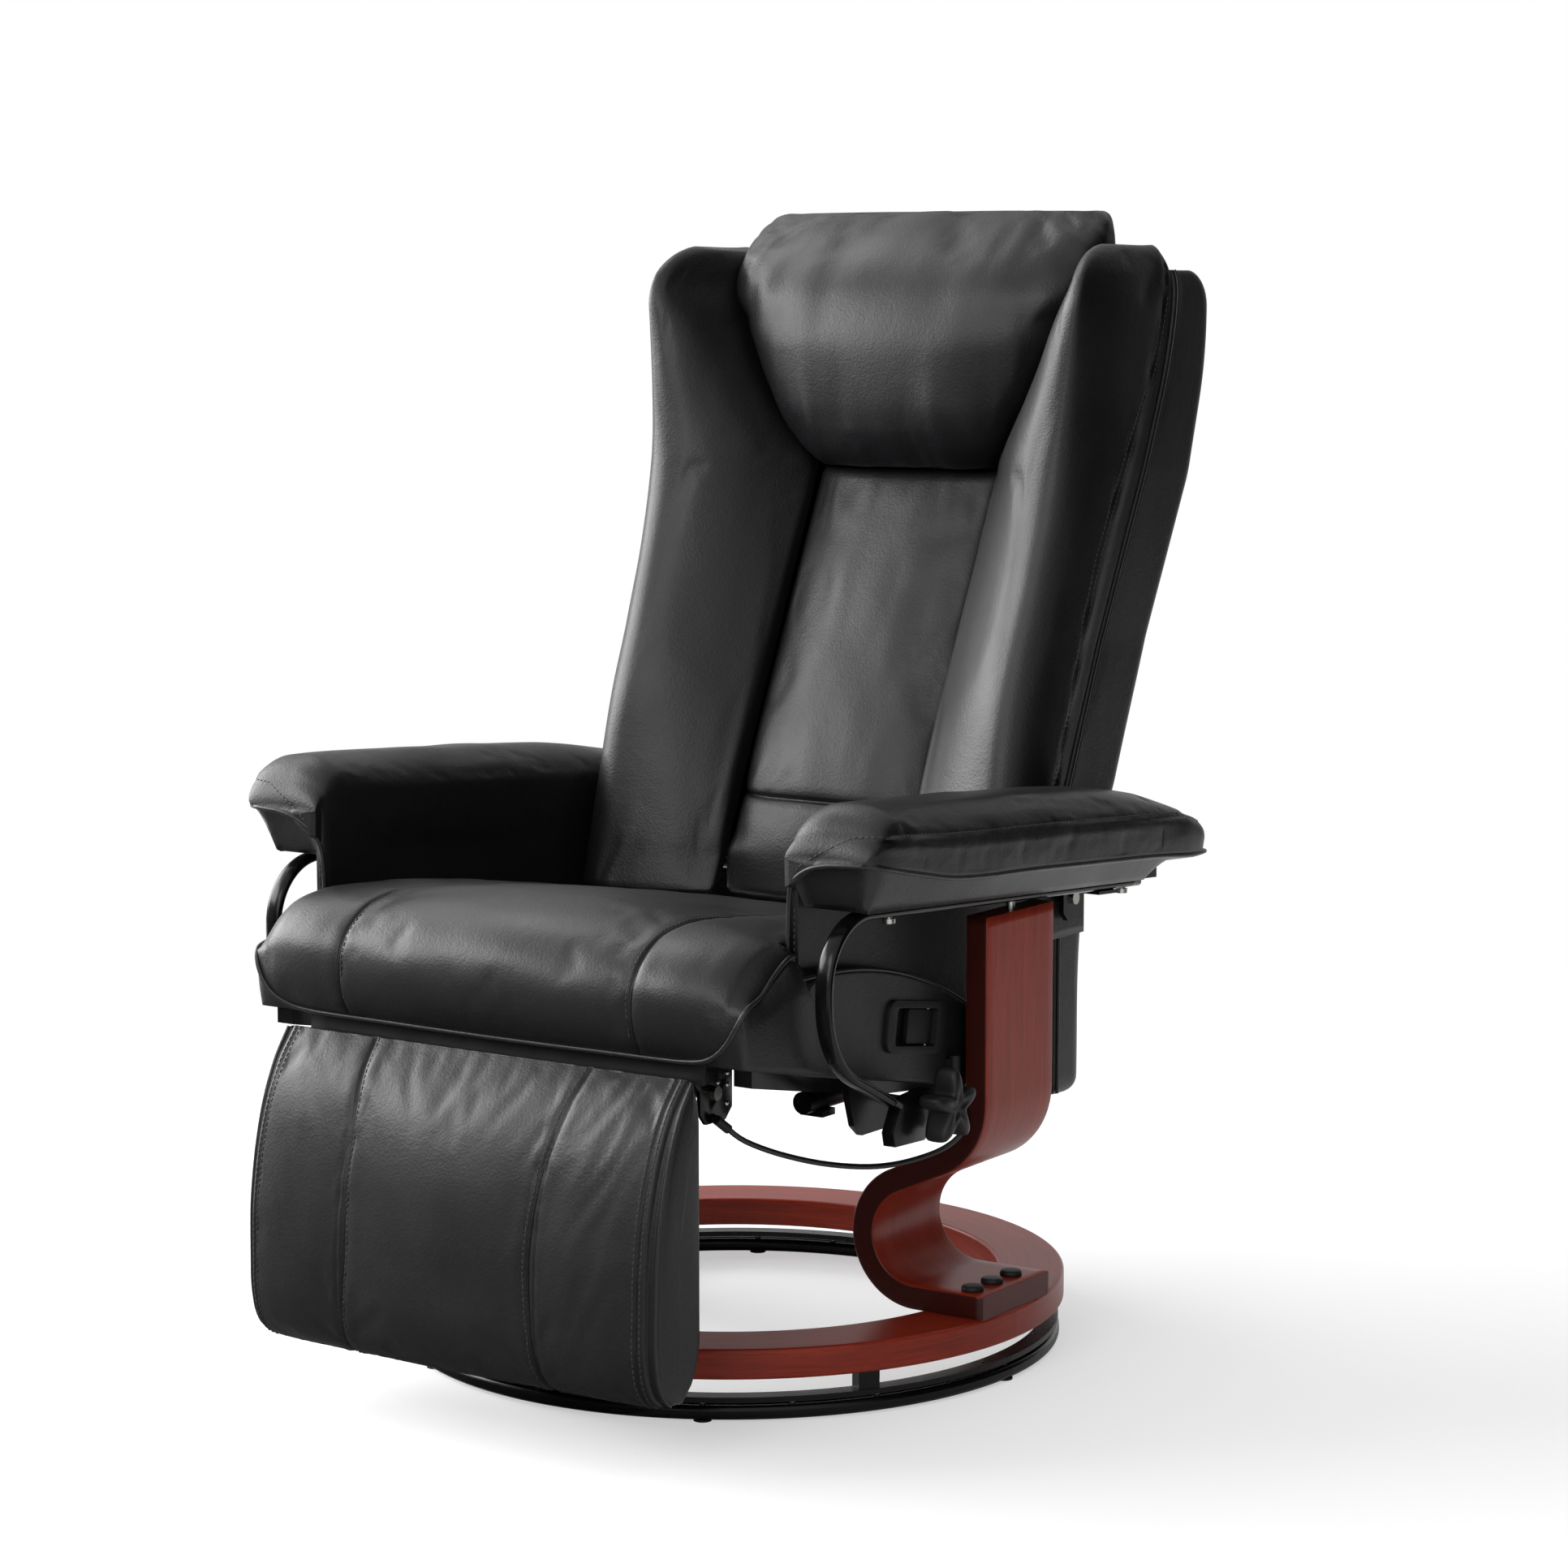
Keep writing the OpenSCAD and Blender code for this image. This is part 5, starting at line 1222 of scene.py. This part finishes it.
bol_z = np.r_[spread((388, 985), 5.5), 990, 994, 998, 1001.5, 1004.5, 1007, 1009, 1010.7, 1012]
rings = sections(bolster_ring, bol_z, 2)
if SIM:
    cz = np.r_[np.linspace(388, 985, 104), 992, 999, 1005, 1009, 1012]
    coarse = sections(bolster_ring, cz, 2)
    held = np.zeros(coarse.shape[:2])
    held[:, 66:] = 1
    held[np.abs(coarse[:, :, 1] - back_line(coarse[:, :, 2]) + 24) < 4] = 0.75
    held[:1] = held[-1:] = 1
    move = settle("bolster", coarse, held, pressure=1.0, swell=0.0, cap=1.5)
    wall = bolster_inner(coarse[:, :, 2]) + 0.1
    move[:, :, 0] = np.maximum(coarse[:, :, 0] + move[:, :, 0], wall) - coarse[:, :, 0]
    rings = rings + between(cz, move, bol_z)
# The top is domed and falls towards the pillow
part = ramp(rings[:, :, 0], 205, 251)
rings[:, :, 2] -= ramp(rings[:, :, 2], 985, 1012) * (9 * (1 - part) ** 2 + 8 * ramp(part, 0.55, 1) ** 2)
nrm = grid_normals(rings)
xx, yy, zz = np.moveaxis(rings, 2, 0)
dist = yy - flow(zz, SIDE_SEAM)
outer_side = np.clip((xx - half_back(zz) + 14) / 8, 0, 1)
front_face = nrm[:, :, 1] < 0.2
height = outer_side * (-1.6 * hill(dist, 0, 1.6) + 0.5 * hill(np.abs(dist), 6, 4))
height += front_face * smooth_noise(rings, (34, 60, 90), 3.1)
# Tucks where the bolster meets the pillow's lower corner
tucks = noise_at(points((xx + 0.8 * zz) / 11, yy / 60, (zz - xx) / 60))
height += hill(zz, 800, 34) * ramp(xx, 150, 110) * 2.2 * tucks * front_face
rings = rings + nrm * height[:, :, None]
# Painted shade in the outer side seam's groove
bolster = pair("bolster_leather", skin(rings), mat_leather, "back", "black_leather", ("bolster",), fill=0.75,
               seam=hill(dist, 0, 1.3) * outer_side)
rows = []
for off in (-3.6, 3.6):
    line = [(half_back(z) + 4, flow(z, SIDE_SEAM[1:-1]) + off, z) for z in np.arange(474, 972, 18.0)]
    rows.append(lay_on(bolster, line, 0.15))
stitches("bolster_stitching", rows + [mirrored(r) for r in rows], "back")


# Back: head pillow

def pillow_rear(z):
    if z > 940:
        line = [back_line(940) + 20, back_line(960) - 1.5, 375, 379]
        return np.interp(z, [940, 960, 1005, 1043], line)
    return back_line(z) + 20


def pillow_ring(z):
    """Section of the pillow at one height, as (x, y)"""
    e_bot = curved(1 - ramp(z, 797, 817), 0.99)
    e_top = curved(1 - ramp(z, 1043, 1017), 0.99)
    half = pillow_half(z) - 3 * e_bot - 16 * e_top
    rear = pillow_rear(z) - 10 * e_top
    front = pillow_front(z) + 12 * e_bot
    return cushion_ring(half, front, rear, rear - 0.4 * (rear - front), 2.9, 3.6, 128)


pil_z = np.r_[797, 797.6, 798.6, 800.2, 802.5, 805.5, 809, 813, np.arange(818, 1018, 4.5),
              1021, 1025, 1029, 1032.5, 1035.5, 1038, 1040, 1041.5, 1042.5, 1043]
rings = sections(pillow_ring, pil_z, 2)
if SIM:
    cz = np.r_[797, 799, 803, 808, 813, np.arange(818, 1018, 5.0), 1022, 1027, 1032, 1036, 1039.5, 1042, 1043]
    coarse = sections(pillow_ring, cz, 2)
    held = coarse[:, :, 1] > back_line(coarse[:, :, 2]) - 2
    held[:2] = held[-2:] = True
    move = settle("pillow", coarse, held, pressure=2.5, swell=0.008, cap=4)
    # Beside the bolsters it keeps its width, and it doesn't sink into the middle cushion
    wall = pillow_half(coarse[:, :, 2])
    deep = coarse[:, :, 1] > bolster_front(coarse[:, :, 2])
    kept = np.clip(coarse[:, :, 0] + move[:, :, 0], -wall, wall) - coarse[:, :, 0]
    move[:, :, 0] = np.where(deep, kept, move[:, :, 0])
    move[:, :, 2] = np.where(coarse[:, :, 2] < 830, np.maximum(move[:, :, 2], 0), move[:, :, 2])
    rings = rings + between(cz, move, pil_z)
nrm = grid_normals(rings)
xx, yy, zz = np.moveaxis(rings, 2, 0)
face = (0.4 - nrm[:, :, 1]).clip(0, 0.6) / 0.6
body = 0.55 + 0.6 * hill(zz, 840, 40) + 0.5 * hill(zz, 1020, 30)
folds = 2.0 * smooth_noise(rings, (17, 70, 120), 6.3) + 2.4 * smooth_noise(rings, (42, 80, 160), 1.9)
height = face * body * folds
# Gathers run into both top corners
rays = noise_at(points(xx / 26 + zz / 18, yy / 14, (zz - xx) / 60))
height += hill(np.abs(xx), 182, 34) * hill(zz, 1018, 34) * 3.2 * rays
rings = rings + nrm * height[:, :, None]
pillow_caps = ((0.94, -0.4), (0.85, 0.2), (0.7, 0.5), (0.45, 0.8), (0.2, 0.9))
pillow = make("head_pillow_leather", *skin(rings, pillow_caps), mat_leather)
place(pillow, "back", "black_leather", "head_pillow")


# Back: rear shell

SHELL_LOW, SHELL_HIGH, SHELL_CORNER, TRAY_HALF = 222, 987, 24, 241


def shell_rear(z):
    if z < 505:
        return flow(z, [(222, 225.5), (300, 226), (390, 232), (430, 250), (505, back_line(505) + 107)])
    return back_line(z) + flow(z, [(790, 107), (940, 85), (987, 78)])


def shell_front(z):
    if z < 430:
        return np.interp(z, [222, 385, 430], [168, 168, back_line(430)])
    return back_line(z)


def shell_top(z):
    """How far the rounded top has fallen, from 0 to 1"""
    return curved(ramp(z, 952, 987.5))


def shell_ring(z):
    """Section of the shell: outer side, rear and, inside the rim, a tray that the frame lies in"""
    top = shell_top(z)
    low = 9 * curved(1 - ramp(z, SHELL_LOW, 236), 0.98)
    w = half_back(z) - low - 8 * top
    y0, y1 = shell_front(z) + low, shell_rear(z) - low - 28 * top
    bulge = 5 * math.sin(math.pi * ramp(z, SHELL_LOW, SHELL_HIGH)) * (1 - top)
    r = SHELL_CORNER
    side = points(w, np.linspace(y0 + 3.5, y1 - r, 13)[:-1])
    corner = arc(w - r, y1 - r, r, 0, 90, 12)
    depth = max(35.0, 214 - y0) if z < 400 else 35.0
    depth = max(0.2, depth * np.clip(min((z - 238) / 4, (964 - z) / 5), 0, 1))
    lip = np.array([[w - 3.2, y0], [w - 0.9, y0 + 1.0]])
    into = points(TRAY_HALF, np.linspace(y0 + depth, y0 + 0.2, 5))
    tray = points(np.linspace(0, TRAY_HALF, 16)[:-1], y0 + depth)
    rear_x = np.linspace(w - r, 0, 22)[1:]
    rear = points(rear_x, y1 + bulge * (1 - (rear_x / (w - r)) ** 2))
    half = np.concatenate([tray, into, lip, side, corner, rear])
    return np.concatenate([half, half[-2:0:-1] * (-1, 1)])


shell_z = np.r_[222, 222.6, 224, 226, 229, 233, 237.8, 242.2, np.arange(248, 950, 7.0),
                954, 958.6, 964.2, 968, 972, 975.5, 978.5, 981, 983, 984.7, 986, 987]
rings = sections(shell_ring, shell_z, 2)
outer = np.zeros(rings.shape[1])
outer[24:-24] = 1
height = 0.9 * smooth_noise(rings, (80, 80, 110), 7.7) * outer
rings = rings + grid_normals(rings) * height[:, :, None]
shell = make("rear_shell_leather", *skin(rings), mat_leather)
place(shell, "back", "black_leather", "rear_shell")
line = [(half_back(z) - 8 * shell_top(z) + 0.4, shell_front(z) + 4.0, z)
        for z in np.r_[np.arange(226, 960, 20.0), 965, 975, 982, 986]]
piping("shell_piping", [line, mirrored(line)], "back", r=1.8)


# Bent plywood legs

# Turn of both bends, at which the straight between them runs on from each
LEG_TURN = math.degrees(math.asin(117 / math.hypot(1, 128.9)) - math.atan2(-1, 128.9))
LEG_Y, LEG_HALF_WIDTH, LEG_HALF_THICK, LEG_EDGE = 2.5, 57.5, 11.0, 2.2
upper = arc(236, 260, 63, 0, -LEG_TURN, 22)
lower = arc(235, 131.1, 54, 180 - LEG_TURN, 270, 40)
leg_line = np.concatenate([
    np.c_[np.full(18, 299.0), np.linspace(427.1, 266, 18)], upper[:-1],
    np.linspace(upper[-1], lower[0], 7)[:-1], lower, np.c_[np.linspace(238, 307.5, 9), np.full(9, 77.1)]])
tang = tangents(leg_line)
side_dir = points(-tang[:, 1], tang[:, 0])
far, deep = LEG_HALF_WIDTH - LEG_EDGE, LEG_HALF_THICK - LEG_EDGE
corners = ((far, deep, 0), (-far, deep, 90), (-far, -deep, 180), (far, -deep, 270))
corner = np.concatenate([arc(cy, ct, LEG_EDGE, a0, a0 + 90, 5) for cy, ct, a0 in corners])
loop = []
for p, q in zip(corner, np.roll(corner, -1, 0)):
    steps = 10 if abs(p[0] - q[0]) > 20 else 4 if abs(p[1] - q[1]) > 8 else 1
    loop += [p + (q - p) * k / steps for k in range(steps)]
loop = np.array(loop)
rings = np.array([[(p[0] + s[0] * t, LEG_Y + y, p[1] + s[1] * t) for y, t in loop]
                  for p, s in zip(leg_line, side_dir)])
pts, faces = skin(rings, caps=((0.97, 0.0), (0.5, 0.0)))
# The grain follows the leg's line, and the plies' edges and ends are darker
body = len(leg_line) * len(loop)
uv = pts[:, [2, 1]] * MM
uv[:body] = np.stack(np.meshgrid(distances(leg_line), distances(loop), indexing="ij"), 2).reshape(-1, 2) * MM
edge = np.full(len(pts), 0.8)
edge[:body] = np.tile(np.abs(loop[:, 0]) > LEG_HALF_WIDTH - 0.6, len(leg_line))
pair("leg_wood", (pts, faces), mat_leg, "swivel_base", "mahogany_wood", ("leg",), uv=uv, edge=edge)


# Side tubes

# Each runs forward under the arm, bends down round two radii and ends in a straight tail back to its bracket
TUBE_X, TUBE_HALF_WIDE = 300, 8
TUBE_FRONT, UPPER_BEND, LOWER_BEND, TAIL_ANGLE, TAIL_END = -296, 57, 80, math.radians(-26), -187
a_y = TUBE_FRONT + UPPER_BEND
a_z = tube_mid(a_y) - UPPER_BEND / math.cos(math.radians(ARM_SLOPE))
top_y = np.linspace(223, a_y + UPPER_BEND * math.sin(math.radians(ARM_SLOPE)), 30)
bends = [arc(a_y, a_z, UPPER_BEND, 90 - ARM_SLOPE, 180, 26)[1:],
         arc(TUBE_FRONT + LOWER_BEND, a_z - 10, LOWER_BEND, 180, 244, 22)]
tail_dir = np.array([math.cos(TAIL_ANGLE), math.sin(TAIL_ANGLE)])
last = bends[-1][-1]
tail = last + np.linspace(0, (TAIL_END - last[0]) / tail_dir[0], 6)[1:, None] * tail_dir
line = np.concatenate([points(top_y, tube_mid(top_y)), *bends, tail])
tang = tangents(line)
out_dir = points(tang[:, 1], -tang[:, 0])
c, s = power_arc(np.arange(28) * 360 / 28, 2.6)
rings = np.array([[(TUBE_X + TUBE_HALF_WIDE * u, *(p + n * TUBE_HALF_HIGH * v)) for u, v in zip(c, s)]
                  for p, n in zip(line, out_dir)])
pair("side_tube_bent", skin(rings, ((0.9, 0.5), (0.6, 0.9), (0.3, 1.0))), mat_steel, "swivel_base",
     "black_steel", ("side_tube",))


# Star knobs

KNOB_Y, KNOB_Z, KNOB_CORE, KNOB_LOBE, LOBES = -141, 277, 14, 20, 5
a = np.arange(120) * 2 * np.pi / 120
lobe = 0.5 + 0.5 * np.cos(LOBES * (a - np.pi / 2))
rings = []
for x, k in ((312, 0.72), (312.6, 0.84), (314, 0.93), (316.5, 0.985), (320, 1.0), (326, 1.0), (330, 0.985),
             (333, 0.94), (335, 0.86), (336, 0.74), (336.3, 0.6)):
    r = KNOB_CORE * min(1, k + 0.08) + KNOB_LOBE * k * lobe ** 1.5 * (0.5 + 0.5 * k)
    rings.append(points(x, KNOB_Y + r * np.cos(a), KNOB_Z + r * np.sin(a)))
pair("star_knob", skin(np.array(rings), ((0.7, 0.0), (0.5, -1.2), (0.3, -1.6), (0.15, -1.6))), mat_plastic,
     "knob_screw_{}", "black_plastic", ("knob",))


# Moulded and steel parts with rounded edges

def softened(node, name, width, mat, body, slot):
    """A copy of a CAD part with its edges rounded by a bevel"""
    mesh = frame["nodes"][node].data.copy()
    mesh.name = name
    obj = put(name, mesh)
    mesh.materials.clear()
    mesh.materials.append(mat)
    pick(obj)
    bpy.ops.object.mode_set(mode="EDIT")
    bpy.ops.mesh.select_all(action="SELECT")
    bpy.ops.mesh.remove_doubles(threshold=0.00001)
    bpy.ops.mesh.dissolve_limited(angle_limit=math.radians(1.0))
    bpy.ops.object.mode_set(mode="OBJECT")
    bevel(obj, width, 3, 32)
    place(obj, body, slot, node)


for node, name, width, mat, body, slot in (
        ("handle_bezel", "handle_bezel_moulded", 1.0, mat_plastic, "seat", "black_plastic"),
        ("release_paddle", "release_paddle_moulded", 0.9, mat_plastic, "paddle", "black_plastic"),
        ("clamp_bracket_left", "clamp_bracket_cast_left", 1.2, mat_steel, "swivel_base", "black_steel"),
        ("clamp_bracket_right", "clamp_bracket_cast_right", 1.2, mat_steel, "swivel_base", "black_steel"),
        ("footrest_hangers", "footrest_hanger_plates", 0.6, mat_steel, "seat", "black_steel"),
        ("latch_housing", "latch_housing_cast", 0.8, mat_steel, "seat", "black_steel"),
        ("leg_caps", "leg_caps_moulded", 0.8, mat_plastic, "swivel_base", "black_plastic")):
    softened(node, name, width, mat, body, slot)


# Rivets of the footrest hangers, with a head on both faces of each plate

rivets = []
for y, z in ((-284, 306), (-270, 302), (-270, 312), (-271, 286)):
    for x, d in ((184, 1), (180, -1)):
        for side in (-1, 1):
            head = [hoop((side * (x + d * h), y, z), (0, 1, 0), (0, 0, 1), r, 16)
                    for h, r in ((0, 2.3), (0.5, 2.3), (0.9, 2.1), (1.3, 1.5), (1.5, 0.7))]
            rivets.append(skin(np.array(head), caps=()))
place(join_pieces("hanger_rivets", rivets, mat_zinc), "seat", "zinc_steel")
